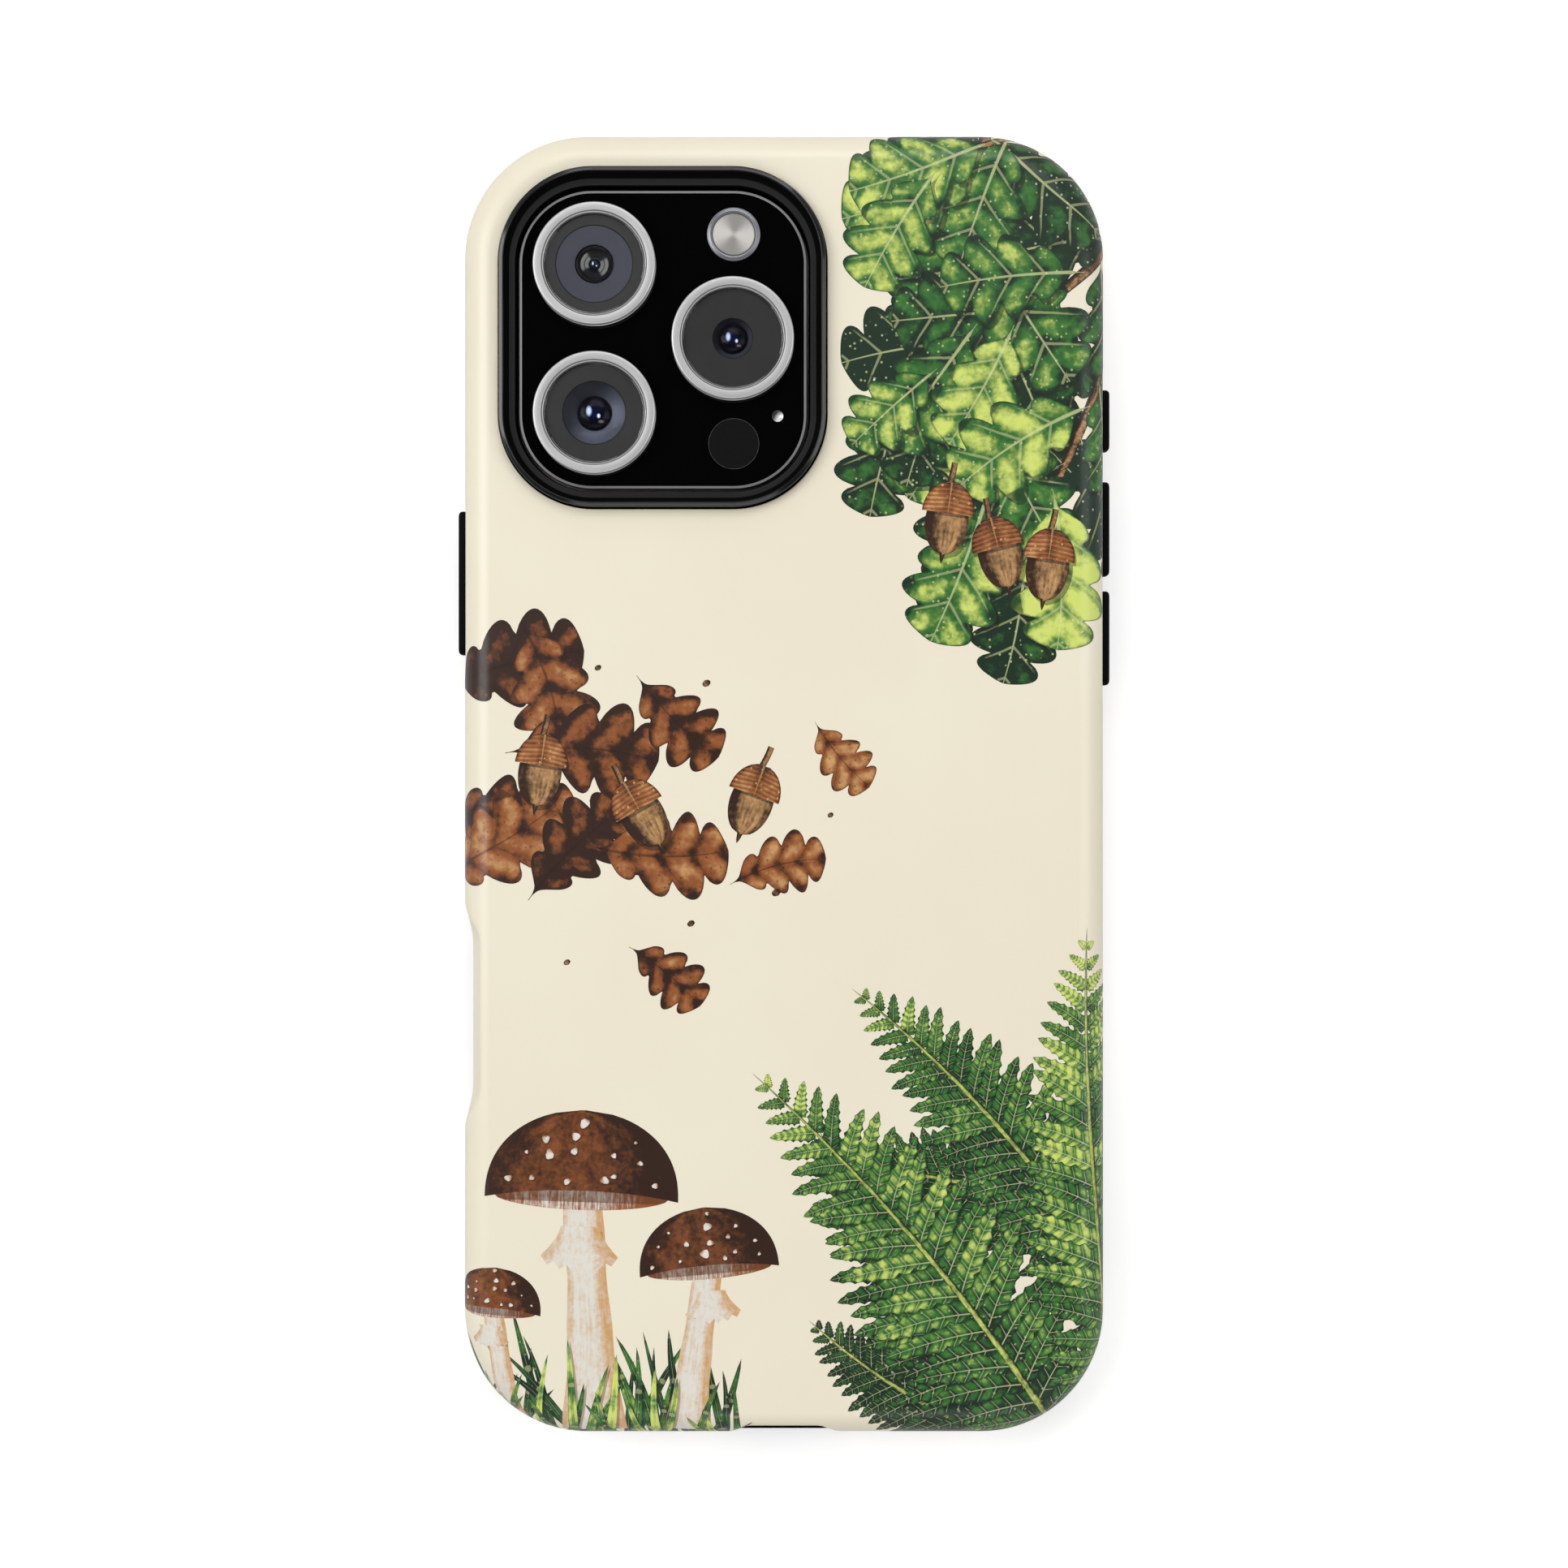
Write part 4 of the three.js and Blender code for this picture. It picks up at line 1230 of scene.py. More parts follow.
def build_lens_ring(name, settings):
    """The ring round a lens: three grooves outside, a bevelled lip inside. Gives its centre."""
    centre, radius, rise = seat(f"{name}_lens_ring")
    inside = radius - 1.35 * MM
    band, lip = radius - 1.08 * MM, radius - 1.25 * MM
    groove = 0.07 * MM
    profile = [(inside, 0)]
    for foot in (0.0, 0.45, 0.9):
        profile += [(radius - groove, foot * MM), (radius - groove, (foot + 0.2) * MM),
                    (radius, (foot + 0.23) * MM), (radius, (foot + 0.42) * MM)]
    profile += arc_points(radius - 0.22 * MM, rise - 0.22 * MM, 0.22 * MM, 0, 90, 6)
    profile += arc_points(band + 0.06 * MM, rise - 0.06 * MM, 0.06 * MM, 90, 150, 3)
    profile += [(lip, rise - 0.22 * MM), (lip - 0.03 * MM, rise - 0.23 * MM),
                (inside + 0.02 * MM, rise - 0.27 * MM), (inside, rise - 0.31 * MM)]
    # the chamfer between the lip and the top band gets painted shade
    piece(f"{name}_ring", lathe(profile, centre),
          ring_metal(f"{name} ring metal", settings.ring, centre, 0.34, (lip, band)),
          [f"{name}_lens_ring"], smooth=TURNED_ANGLE, weighted=True)
    return centre


def build_lenses():
    settings = bpy.context.scene.phone_lenses
    glass = lens_glass()
    for name, well, annulus_share in LENSES:
        build_lens(name, well * MM, annulus_share, glass, settings)
    build_flash(settings)
    build_sensors(settings)


def build_flash(settings):
    centre, radius, rise = seat("flash_bezel")
    glass_at, glass_radius, glass_rise = seat("flash_lens")
    inside = glass_radius + 0.06 * MM
    profile = [(inside, 0), (radius, 0)]
    profile += arc_points(radius - 0.1 * MM, rise - 0.1 * MM, 0.1 * MM, 0, 90, 4)
    for step in (0.14, 0.28, 0.42):
        profile += [(radius - step * MM, rise - step / 6 * MM),
                    (radius - (step + 0.03) * MM, rise - (step / 6 + 0.05) * MM)]
    profile += [(inside + 0.08 * MM, rise - 0.14 * MM), (inside + 0.04 * MM, rise - 0.09 * MM),
                (inside, rise - 0.12 * MM)]
    piece("flash_rim", lathe(profile, centre),
          ring_metal("flash rim metal", (0.24, 0.245, 0.27), centre, 0.28),
          ["flash_bezel"], smooth=TURNED_ANGLE)
    piece("flash_diffuser",
          lathe(chamfered(glass_radius, glass_rise, 0.1 * MM, 0.15 * MM), glass_at),
          flash_finish(settings, centre, glass_radius), ["flash_lens"])


def build_sensors(settings):
    centre, radius, rise = seat("depth_sensor_window")
    glass = plain_finish("sensor glass", settings.sensor, 0.12, 2000.0, 0.0)
    piece("sensor_window", lathe(chamfered(radius, rise, 0.06 * MM, 0.06 * MM), centre), glass,
          ["depth_sensor_window"])
    centre, radius, rise = seat("microphone_grille")
    profile = [(0, 0), (radius, 0), (radius, rise - 0.04 * MM), (radius - 0.04 * MM, rise),
               (radius - 0.12 * MM, rise - 0.02 * MM)]
    profile += [(share * radius, rise - (0.28 - 0.3 * share * share) * MM)
                for share in (0.75, 0.6, 0.45, 0.32)]
    profile += [(0.2 * radius, rise - 0.2 * MM), (0, rise - 0.18 * MM)]
    dish = dish_metal("microphone metal", centre, radius)
    piece("microphone_dish", lathe(profile, centre, 48), dish,
          ["microphone_grille"], smooth=math.radians(40))


# The printed design, laid out flat and then wrapped over the shell

# On the flat print plane, in millimetres
TOUCHING = 0.0002
NET = 3.0
BEND_STEP = 0.45
SIDE_STEP = 1.0
FULL_REACH = 11.0

# How far past the flat of the back the print goes beside an opening, and where that begins
SHORT_REACH = 5.9 * MM
KEEP_OFF = 1.2 * MM
REACH_FADE = 3.5 * MM
STRAIGHT_HALF = 66 * MM


class Field:
    """A patch of paint on the flat print plane, in millimetres."""

    def __init__(self, shape, columns, rows, tint, material, shades):
        grid = bmesh.new()
        bmesh.ops.create_grid(grid, x_segments=columns, y_segments=rows, size=1)
        self.tint, self.material, self.shades = tint, material, shades
        self.spots = [(vert.co.x, (vert.co.y + 1) / 2) for vert in grid.verts]
        flat = [Vector(shape(*spot)) / MM for spot in self.spots]
        middle = [Vector(shape(0, along)) / MM for _, along in self.spots]
        away = [(point - rib).length for point, rib in zip(flat, middle)]
        widest = max(away)
        # across from the middle rib, as a share of the widest place and as a share of this place
        self.wide = [math.copysign(span / widest, spot[0])
                     for span, spot in zip(away, self.spots)]
        self.points = [point.to_3d() for point in flat]
        self.quads = [[vert.index for vert in face.verts] for face in grid.faces]
        self.rim = [[vert.index for vert in edge.verts] for edge in grid.edges if edge.is_boundary]
        self.low = [min(point[axis] for point in flat) for axis in (0, 1)]
        self.high = [max(point[axis] for point in flat) for axis in (0, 1)]
        self.tree = BVHTree.FromPolygons(self.points, self.quads)
        grid.free()

    def holds(self, point):
        if not (self.low[0] <= point.x <= self.high[0] and self.low[1] <= point.y <= self.high[1]):
            return False
        return self.tree.find_nearest(point, TOUCHING)[0] is not None

    def paint_at(self, point):
        """The point's place on the patch: shares of the widest width, of the local width, along."""
        place, _, number, _ = self.tree.find_nearest(point)
        corners = self.quads[number]
        shares = poly_3d_calc([self.points[corner] for corner in corners], place)
        wide = sum(share * self.wide[corner] for share, corner in zip(shares, corners))
        across = sum(share * self.spots[corner][0] for share, corner in zip(shares, corners))
        along = sum(share * self.spots[corner][1] for share, corner in zip(shares, corners))
        return (wide + 1) / 2, (across + 1) / 2, along


class Print:
    """One painted motif: patches of paint, each over the ones before it, merged into one film."""

    def __init__(self):
        self.fields = []

    def field(self, shape, columns, rows, tint, material=0):
        """Adds a patch whose points shape(across, along) gives, across -1 to 1, along 0 to 1."""
        self.fields.append(Field(shape, columns, rows, tint, material, False))

    def shadow(self, shape, rows, slide=(0.45, -0.55)):
        """Adds a shadow of a patch's shape, which darkens what is under it."""
        def moved(across, along):
            x, y = shape(across, along)
            return x + slide[0] * MM, y + slide[1] * MM

        self.fields.append(Field(moved, 1, rows, 0.0, 0, True))

    def gather(self):
        """Lists the patches that reach into each square of a coarse net, the topmost first."""
        self.squares = defaultdict(list)
        for rank, field in reversed(list(enumerate(self.fields))):
            first, last = net_square(field.low), net_square(field.high)
            for column in range(first[0], last[0] + 1):
                for row in range(first[1], last[1] + 1):
                    self.squares[column, row].append((rank, field))

    def hidden(self, spots, rank):
        """Whether a patch over this one hides all of the spots."""
        for above, field in self.squares[net_square(spots[0])]:
            if above <= rank:
                return False
            if not field.shades and all(field.holds(spot) for spot in spots):
                return True
        return False

    def seen_at(self, point):
        """The topmost patch at a point, and whether a shadow falls on it."""
        shaded = False
        for rank, field in self.squares[net_square(point)]:
            if field.holds(point):
                if not field.shades:
                    return field, shaded
                shaded = True
        return None, False

    def guides(self, core, edge):
        """Lines that the film has to follow: where the shell bends, and where the print ends."""
        low = [min(field.low[axis] for field in self.fields) - 1 for axis in (0, 1)]
        high = [max(field.high[axis] for field in self.fields) + 1 for axis in (0, 1)]
        bend_end = edge * RIGHT_ANGLE / MM
        pasts = spaced(0, bend_end, BEND_STEP)
        pasts += spaced(bend_end + SIDE_STEP, FULL_REACH, SIDE_STEP)
        loops = [contour(core.grown(past * MM)) for past in pasts]
        border = []
        for point in contour(core):
            near = nearest_core(point, core)
            away = (point - near).normalized()
            reach = print_reach(near + away * (core.corner + edge))
            border.append(near + away * (core.corner + reach))
        lines = []
        for loop in loops + [border]:
            loop = [point / MM for point in loop]
            for start, end in zip(loop, loop[1:] + loop[:1]):
                if all(low[axis] < spot[axis] < high[axis] for spot in (start, end)
                       for axis in (0, 1)):
                    lines.append((start, end))
        return lines

    def merged(self, core, edge):
        """The triangles of the motif as it is seen, each with its patch and its shadow."""
        self.gather()
        points, ties = [], []
        for rank, field in enumerate(self.fields):
            for first, second in field.rim:
                ends = [field.points[first], field.points[second]]
                if not self.hidden([ends[0].lerp(ends[1], 0.5)] + ends, rank):
                    ties.append((len(points), len(points) + 1))
                    points += [end.xy for end in ends]
            if not field.shades:
                points += [point.xy for point in field.points if not self.hidden([point], rank)]
        for pair in self.guides(core, edge):
            ties.append((len(points), len(points) + 1))
            points += pair
        found = delaunay_2d_cdt(points, ties, [], 0, TOUCHING / 2, False)
        spots = [point.to_3d() for point in found[0]]
        for corners in found[2]:
            centre = sum((spots[corner] for corner in corners), Vector()) / len(corners)
            if edge_distance(centre * MM, core) < print_reach(centre * MM):
                field, shaded = self.seen_at(centre)
                if field:
                    yield [spots[corner] for corner in corners], corners, field, shaded

    def finish(self, name, materials):
        """Merges the patches, wraps them over the shell and gives the film its thickness."""
        settings = bpy.context.scene.phone_print
        edge = bpy.context.scene.phone_shell.edge
        core = case_outline().grown(-edge)
        film = bmesh.new()
        painted = film.loops.layers.uv.new("field")
        margin = film.loops.layers.uv.new("margin")
        tint = film.faces.layers.float.new("tint")
        shade = film.faces.layers.float.new("shade")
        flat_at = film.verts.layers.float_vector.new("flat")
        placed = {}
        for spots, corners, field, shaded in self.merged(core, edge):
            for spot, corner in zip(spots, corners):
                if corner not in placed:
                    flat = spot * MM
                    placed[corner] = film.verts.new(
                        on_shell(flat, core, edge, settings.rise, print_reach(flat)))
                    placed[corner][flat_at] = flat
            face = film.faces.new([placed[corner] for corner in corners])
            face.material_index = field.material
            face[tint] = field.tint
            face[shade] = 1.0 if shaded else 0.0
            for loop, spot in zip(face.loops, spots):
                wide, across, along = field.paint_at(spot)
                loop[painted].uv = (wide, along)
                loop[margin].uv = (across, along)
        film.normal_update()
        outside = set(film.verts)
        bmesh.ops.solidify(film, geom=film.faces[:], thickness=settings.film)
        for vert in set(film.verts) - outside:
            flat = vert[flat_at].copy()
            vert.co = on_shell(flat, core, edge, settings.rise - settings.film, print_reach(flat))
        return piece(name, film, materials)


def net_square(point):
    return math.floor(point[0] / NET), math.floor(point[1] / NET)


def contour(outline):
    """Points round an outline, no further apart than about a millimetre."""
    steps = 18
    turns = [Vector(outline.point(index, steps)) for index in range(4 * (steps + 1))]
    points = []
    for start, end in zip(turns, turns[1:] + turns[:1]):
        count = max(1, round((end - start).length / MM))
        points += [start.lerp(end, number / count) for number in range(count)]
    return points


def nearest_core(flat, core):
    reach_x, reach_y = core.width / 2 - core.corner, core.height / 2 - core.corner
    return Vector((min(max(flat.x, -reach_x), reach_x), min(max(flat.y, -reach_y), reach_y)))


def edge_distance(flat, core):
    """How far a point of the flat print lies past the flat of the back."""
    return (flat.xy - nearest_core(flat, core)).length - core.corner


def print_reach(flat):
    """How far past the flat of the back the print may go, so that it ends at each opening."""
    if flat.x > 0 and abs(flat.y) < STRAIGHT_HALF:
        spans = [BOX[node] for node in COVERS if BOX[node][0].x > 0]
        past = min(max(low.y - flat.y, flat.y - high.y) for low, high in spans)
    elif flat.x < 0 and abs(flat.y) < STRAIGHT_HALF:
        low, high = BOX["power_button_cover"]
        past = min(max(low.y - flat.y, flat.y - high.y), abs(flat.y - SCOOP_Y) - SCOOP_PRINT_HALF)
    elif flat.y < 0:
        past = min(abs(abs(flat.x) - SOUND_X) - SOUND_HALF, abs(flat.x) - NOTCH_HALF)
    else:
        past = KEEP_OFF + 2 * REACH_FADE
    full = FULL_REACH * MM
    return SHORT_REACH + (full - SHORT_REACH) * ease((past - KEEP_OFF) / REACH_FADE)


def on_shell(flat, core, edge, height, reach):
    """The place over the shell's surface of a point of the flat print plane."""
    near = nearest_core(flat, core)
    away = flat.xy - near
    past = min(away.length - core.corner, reach)
    top = SHELL_HIGH.z
    if past <= 0:
        return Vector((flat.x, flat.y, top + height))
    away.normalize()
    radius = edge + height
    turn = past / edge
    if turn < RIGHT_ANGLE:
        out, z = radius * math.sin(turn), top - edge + radius * math.cos(turn)
    else:
        out, z = radius, top - edge - (past - edge * RIGHT_ANGLE)
    x, y = near + away * (core.corner + out)
    x, y = pressed(x, y, z, SHELL_HIGH.x + height, SHELL_HIGH.y - PRINT_ROOM + height)
    return Vector((x, y, z))


def leaf(x, y, heading, size, width, bend, form, lean=0.0):
    """A leaf from its stalk at x, y: heading and bend in degrees, form its half width along it."""
    turn, curl = math.radians(heading), math.radians(bend)
    forward = Vector((math.cos(turn), math.sin(turn)))
    rightward = Vector((forward.y, -forward.x))

    def shape(across, along):
        half = max(form(along), 0.006) * width / 2
        reach = along * size + lean * half * abs(across)
        angle = curl * reach / size
        if abs(curl) < 0.001:
            rib = Vector((0, reach))
        else:
            rib = Vector((1 - math.cos(angle), math.sin(angle))) * (size / curl)
        side = Vector((math.cos(angle), -math.sin(angle))) * (across * half)
        local = rib + side
        return (x + rightward.x * local.x + forward.x * local.y,
                y + rightward.y * local.x + forward.y * local.y)

    return shape


def disc_shape(x, y, width, height, heading=0.0, wobble=0.0):
    """A round or oval patch, with an uneven outline if asked."""
    turn = math.radians(heading)

    def shape(across, along):
        up = 2 * along - 1
        span = math.sqrt(max(1 - up * up, 0.0004))
        local = Vector((across * span, up))
        bump = 1 + wobble * math.sin(3 * math.atan2(local.y, local.x) + 40 * (x + y) / MM)
        local_x, local_y = local.x * bump * width / 2, local.y * bump * height / 2
        return (x + local_x * math.cos(turn) - local_y * math.sin(turn),
                y + local_x * math.sin(turn) + local_y * math.cos(turn))

    return shape


def way_along(stem, along):
    """A place on a stem and the stem's heading there, in degrees."""
    x, y = stem(0, along)
    next_x, next_y = stem(0, along + 0.01)
    return x, y, math.degrees(math.atan2(next_y - y, next_x - x))


OAK_LOBES = 4
OAK_WIDTH = 0.64
OAK_LEAN = 0.22


def oak_form(along):
    """Half width of a leaf with round lobes."""
    body = max(math.sin(math.pi * min(along, 1) ** 1.4), 0) ** 0.6
    lobes = abs(math.sin(math.pi * (along - 0.1) / 0.9 * OAK_LOBES)) ** 0.5
    stalk = ease((along - 0.04) / 0.16)
    return body * (0.4 + 0.6 * lobes) * (0.06 + 0.94 * stalk)


def frond_form(along):
    """Half width of a toothed leaflet."""
    teeth = 0.84 + 0.16 * math.cos(math.tau * along * 6)
    return math.sqrt(max(1 - along, 0)) * teeth * ease((along + 0.25) / 0.4)


def blade_form(along):
    """Half width of a blade of grass or a twig."""
    return max(1 - along, 0) ** 0.6


def print_inputs(nodes):
    """What the film carries for its paint: its two maps, its tint and its shadow."""
    field = nodes.add("UVMap", uv_map="field").outputs["UV"]
    margin = nodes.add("UVMap", uv_map="margin").outputs["UV"]
    tint = nodes.add("Attribute", attribute_name="tint").outputs["Fac"]
    shade = nodes.add("Attribute", attribute_name="shade").outputs["Fac"]
    return field, margin, tint, shade


def print_surface(nodes, shader, paint, shade, deep):
    """Paint under the shell's own satin skin, darker where a shadow falls."""
    satin_surface(nodes, shader, nodes.mix(nodes.times(shade, 0.62), paint, toned(deep, 0.3)))


def leaf_paint(name, deep, middle, light, rib, ribs, lean, specks, offset=0.0):
    """The watercolour of a kind of leaf."""
    material, nodes, shader = new_material(name)
    field, margin, tint, shade = print_inputs(nodes)
    paint = nodes.group("leaf", {
        "Vector": nodes.place(), "Field": field, "Margin": margin, "Tint": tint, "Deep": deep,
        "Middle": middle, "Light": light, "Rib": rib, "Ribs": ribs, "Offset": offset,
        "Lean": lean, "Specks": specks})
    print_surface(nodes, shader, paint["Color"], shade, deep)
    return material


def stroke_paint(name, deep, light, stretch, contrast=1.3):
    """Brush strokes along a patch, darker towards its sides."""
    material, nodes, shader = new_material(name)
    margin, tint, shade = print_inputs(nodes)[1:]
    place = nodes.place()
    strokes = nodes.add("Mapping", {"Vector": margin, "Scale": stretch}).outputs["Vector"]
    brushed = nodes.uneven(strokes, 1.0, 4.0, 0.7)
    value = nodes.math("MULTIPLY_ADD", brushed, contrast, tint)
    value = nodes.math("MULTIPLY_ADD", nodes.uneven(place, 420.0, 3.0, 0.6), 0.7, value)
    value = nodes.math("MULTIPLY_ADD", nodes.uneven(place, 1800.0), 0.6, value)
    across = nodes.parts(margin)["X"]
    value = nodes.math("ADD", value, nodes.band(across, 0.0, 0.22, -0.4, 0.0))
    value = nodes.math("SUBTRACT", value, nodes.band(across, 0.55, 1.0, 0.0, 0.65))
    body = nodes.mix(nodes.band(value, 0.0, 1.0), deep, light)
    print_surface(nodes, shader, body, shade, deep)
    return material


def pale_rib(settings):
    return [0.6 * light + 0.4 * chalk
            for light, chalk in zip(settings.young_green, settings.chalk)]


def oak_paints(settings, deep, middle, light, rib):
    """The finishes of an oak motif: leaf, twig, nut and cup."""
    start = 0.1 + 0.45 / OAK_LOBES
    lean = 0.16
    per_lobe = OAK_LOBES / 0.9
    return [
        leaf_paint("oak leaf", deep, middle, light, rib, per_lobe, lean, 0.55,
                   -(start - lean) * per_lobe),
        stroke_paint("oak twig", settings.deep_brown, settings.tan, (2, 60, 1)),
        stroke_paint("acorn", settings.deep_brown, settings.tan, (9, 2, 1)),
        leaf_paint("acorn cup", settings.deep_brown, settings.warm_brown, settings.tan,
                   settings.tan, 7.0, 0.1, 1.0),
    ]


def oak_leaf(motif, x, y, heading, size, bend, tint):
    """One lobed leaf with its shadow."""
    shape = leaf(x, y, heading, size, size * OAK_WIDTH, bend, oak_form, OAK_LEAN)
    motif.shadow(shape, 54)
    motif.field(shape, 4, 54, tint)


def acorn(motif, x, y, heading):
    """A nut in its scaly cup, hanging along heading, 12 mm long with its stalk."""
    forward = Vector((math.cos(math.radians(heading)), math.sin(math.radians(heading))))
    top = Vector((x, y))
    nut, tip = top + forward * 3.6 * MM, top + forward * 7.6 * MM
    stalk, cup = top - forward * 4 * MM, top - forward * 1.4 * MM
    body = disc_shape(*nut, 5.6 * MM, 8.8 * MM, heading - 90)
    scales = leaf(*cup, heading, 4.0 * MM, 6.9 * MM, 0,
                  lambda along: 0.98 * math.sqrt(1 - 0.94 * (1 - along) ** 2))
    motif.field(leaf(*stalk, heading, 4.5 * MM, 0.8 * MM, 20, lambda along: 1.0), 2, 6, 0.4, 1)
    motif.shadow(body, 16)
    motif.field(leaf(*tip, heading, 1.6 * MM, 0.8 * MM, 0, blade_form), 2, 4, 0.1, 2)
    motif.field(body, 8, 20, 0.55, 2)
    motif.shadow(scales, 10, (0.2, -0.4))
    motif.field(scales, 8, 10, 0.45, 3)


def build_oak():
    """An oak branch with acorns that hangs down the right side from the upper corner."""
    settings = bpy.context.scene.phone_print
    draw = random.Random(settings.seed + 1)
    motif = Print()
    # start, heading, length and bend of each twig, then how many leaves it bears
    twigs = [(27, 92, 262, 60, -16, 8), (47, 74, 228, 40, 26, 5), (34, 88, 216, 18, 10, 3),
             (44, 60, 250, 34, 8, 4)]
    keep_clear = WINDOW.x + WINDOW.width / 2 + 1.6 * MM
    for layer, tone in enumerate((-0.15, 0.2, 0.55)):
        for x, y, heading, size, bend, count in twigs:
            twig = leaf(x * MM, y * MM, heading, size * MM, 1.8 * MM, bend, blade_form)
            if layer == 0:
                motif.field(twig, 2, 40, 0.45, 1)
            for number in range(layer, count * 2, 3):
                along = (number + 1.0) / (count * 2 + 0.5)
                at_x, at_y, way = way_along(twig, along)
                side = 1 if number % 2 else -1
                lean = way + side * (52 + draw.uniform(-14, 14)) * (1 - 0.6 * along)
                full = draw.uniform(17, 22) * MM
                curl = draw.uniform(-22, 22)
                tint = tone + draw.uniform(-0.25, 0.35)
                for attempt in range(8):
                    shape = leaf(at_x, at_y, lean, full, full * OAK_WIDTH, curl, oak_form,
                                 OAK_LEAN)
                    left = min(shape(across, along)[0] for across in (-1, 1)
                               for along in (0.4, 0.6, 0.8, 1.0))
                    if left > keep_clear:
                        break
                    lean += 8
                    full *= 0.97
                oak_leaf(motif, at_x, at_y, lean, full, curl, tint)
    for x, y, heading in ((21.5, 37.5, 262), (27.0, 33.0, 284), (34.5, 31.5, 262)):
        acorn(motif, x * MM, y * MM, heading)
    motif.finish("oak_print", oak_paints(settings, settings.deep_green, settings.leaf_green,
                                         settings.young_green, pale_rib(settings)))


def build_drift():
    """Brown oak leaves and acorns that drift in from the left edge."""
    settings = bpy.context.scene.phone_print
    motif = Print()
    for x, y, heading, size, bend, tint in (
            (-45, 12, 25, 20, 20, 0.0), (-46, -3, 345, 20, -24, 0.15), (-46, -12, 20, 19, -18, 0.5),
            (-34, 21, 300, 18, 24, 0.4), (-36, 4, 10, 20, 26, 0.2), (-33, -15, 55, 17, 22, 0.05),
            (-25, -8, 345, 18, -26, 0.45), (-19, 14, 305, 15, -20, 0.25),
            (-7, -13, 30, 13, 30, 0.5), (4, 8, 300, 11, -20, 0.6), (-20, -21, 330, 12, 20, 0.3)):
        oak_leaf(motif, x * MM, y * MM, heading, size * MM, bend, tint)
    for x, y, heading in ((-31, 5, 262), (-20, -1, 300), (-3, 1, 250)):
        acorn(motif, x * MM, y * MM, heading)
    for x, y, size in ((-10, 13, 1.1), (-24, 15, 0.9), (-1, -14, 1.2), (-12, -18, 1.0), (6, -4, 0.8),
                       (-28, -23, 0.9)):
        motif.field(disc_shape(x * MM, y * MM, size * MM, size * 0.8 * MM, 30), 4, 6, 0.3, 2)
    ribs = toned(settings.deep_brown, 0.5)
    motif.finish("drifting_leaf_print",
                 oak_paints(settings, settings.deep_brown, settings.warm_brown, settings.tan, ribs))


def build_fern():
    """Fern fronds that fan out from the lower right corner."""
    settings = bpy.context.scene.phone_print
    draw = random.Random(settings.seed)
    motif = Print()
    fronds = [  # start, heading, length, bend and leaflet length, millimetres and degrees
        (42, -89, 168, 44, 30, 8.5), (46, -60, 150, 42, -32, 8.5), (43, -92, 142, 62, 26, 11.0),
        (47, -72, 118, 60, -24, 10.0), (41, -93, 120, 72, -18, 12.0), (46, -84, 104, 66, 16, 10.5),
    ]
    pairs = 23
    for number, (x, y, heading, size, bend, reach) in enumerate(fronds):
        stem = leaf(x * MM, y * MM, heading, size * MM, 1.2 * MM, bend, blade_form)
        for pair in range(pairs, 0, -1):
            along = 0.06 + 0.94 * pair / (pairs + 1)
            at_x, at_y, way = way_along(stem, along)
            full = reach * MM * (math.sin(math.pi * min(along * 0.8 + 0.22, 1)) ** 0.8 + 0.08)
            for side in (-1, 1):
                lean = way + side * (66 + draw.uniform(-4, 4) - 22 * along)
                tint = -0.2 + 0.11 * number + 0.34 * along + draw.uniform(-0.14, 0.18)
                shape = leaf(at_x, at_y, lean, full * draw.uniform(0.92, 1.05),
                             0.33 * full + 0.9 * MM, -side * draw.uniform(8, 22), frond_form)
                motif.shadow(shape, 18, (0.25, -0.3))
                motif.field(shape, 2, 18, tint)
        motif.field(stem, 2, 40, 0.55, 1)
    greens = leaf_paint("fern green", settings.deep_green, settings.leaf_green,
                        settings.young_green, pale_rib(settings), 7.0, 0.12, 0.4)
    stalk = stroke_paint("fern stalk", settings.deep_green, settings.young_green, (2, 40, 1))
    motif.finish("fern_print", [greens, stalk])


def grass(motif, draw, count, first, last, sizes, spread, tints):
    """A row of blades along the bottom edge."""
    for number in range(count):
        x = first + (last - first) * number / (count - 1) + draw.uniform(-0.7, 0.7)
        size = draw.uniform(*sizes) * (1 - 0.35 * abs(2 * number / count - 1))
        blade = leaf(x * MM, (-91 + draw.uniform(0, 2)) * MM, 90 + draw.uniform(-spread, spread),
                     size * MM, draw.uniform(1.3, 2.1) * MM, draw.uniform(-34, 34), blade_form)
        motif.shadow(blade, 12, (0.3, -0.2))
        motif.field(blade, 2, 14, draw.uniform(*tints))


def build_mushrooms():
    """Three mushrooms in grass at the lower left."""
    settings = bpy.context.scene.phone_print
    draw = random.Random(settings.seed + 2)
    motif = Print()
    grass(motif, draw, 34, -45, -6, (17, 28), 26, (-0.1, 0.35))
    for x, size, cap, tilt, tint in ((-12.5, 28, 18, -5, 0.4), (-35.5, 21, 12.5, 5, 0.55),
                                     (-24.5, 40, 25, 2, 0.45)):
        mushroom(motif, draw, x, -84, size, cap, tilt, tint)
    grass(motif, draw, 30, -44, -7, (12, 19), 34, (0.3, 0.85))
    blades = leaf_paint("grass", settings.deep_green, settings.leaf_green, settings.young_green,
                        pale_rib(settings), 3.0, 0.0, 0.25)
    cap = stroke_paint("mushroom cap", settings.deep_brown, settings.warm_brown, (7, 3, 1))
    stem = stroke_paint("mushroom stem", settings.tan, settings.chalk, (9, 3, 1))
    gills = stroke_paint("mushroom gills", settings.warm_brown, settings.chalk, (60, 1, 1), 2.6)
    flecks = stroke_paint("cap flecks", settings.warm_brown, settings.chalk, (2, 2, 1))
    motif.finish("mushroom_print", [blades, cap, stem, gills, flecks])


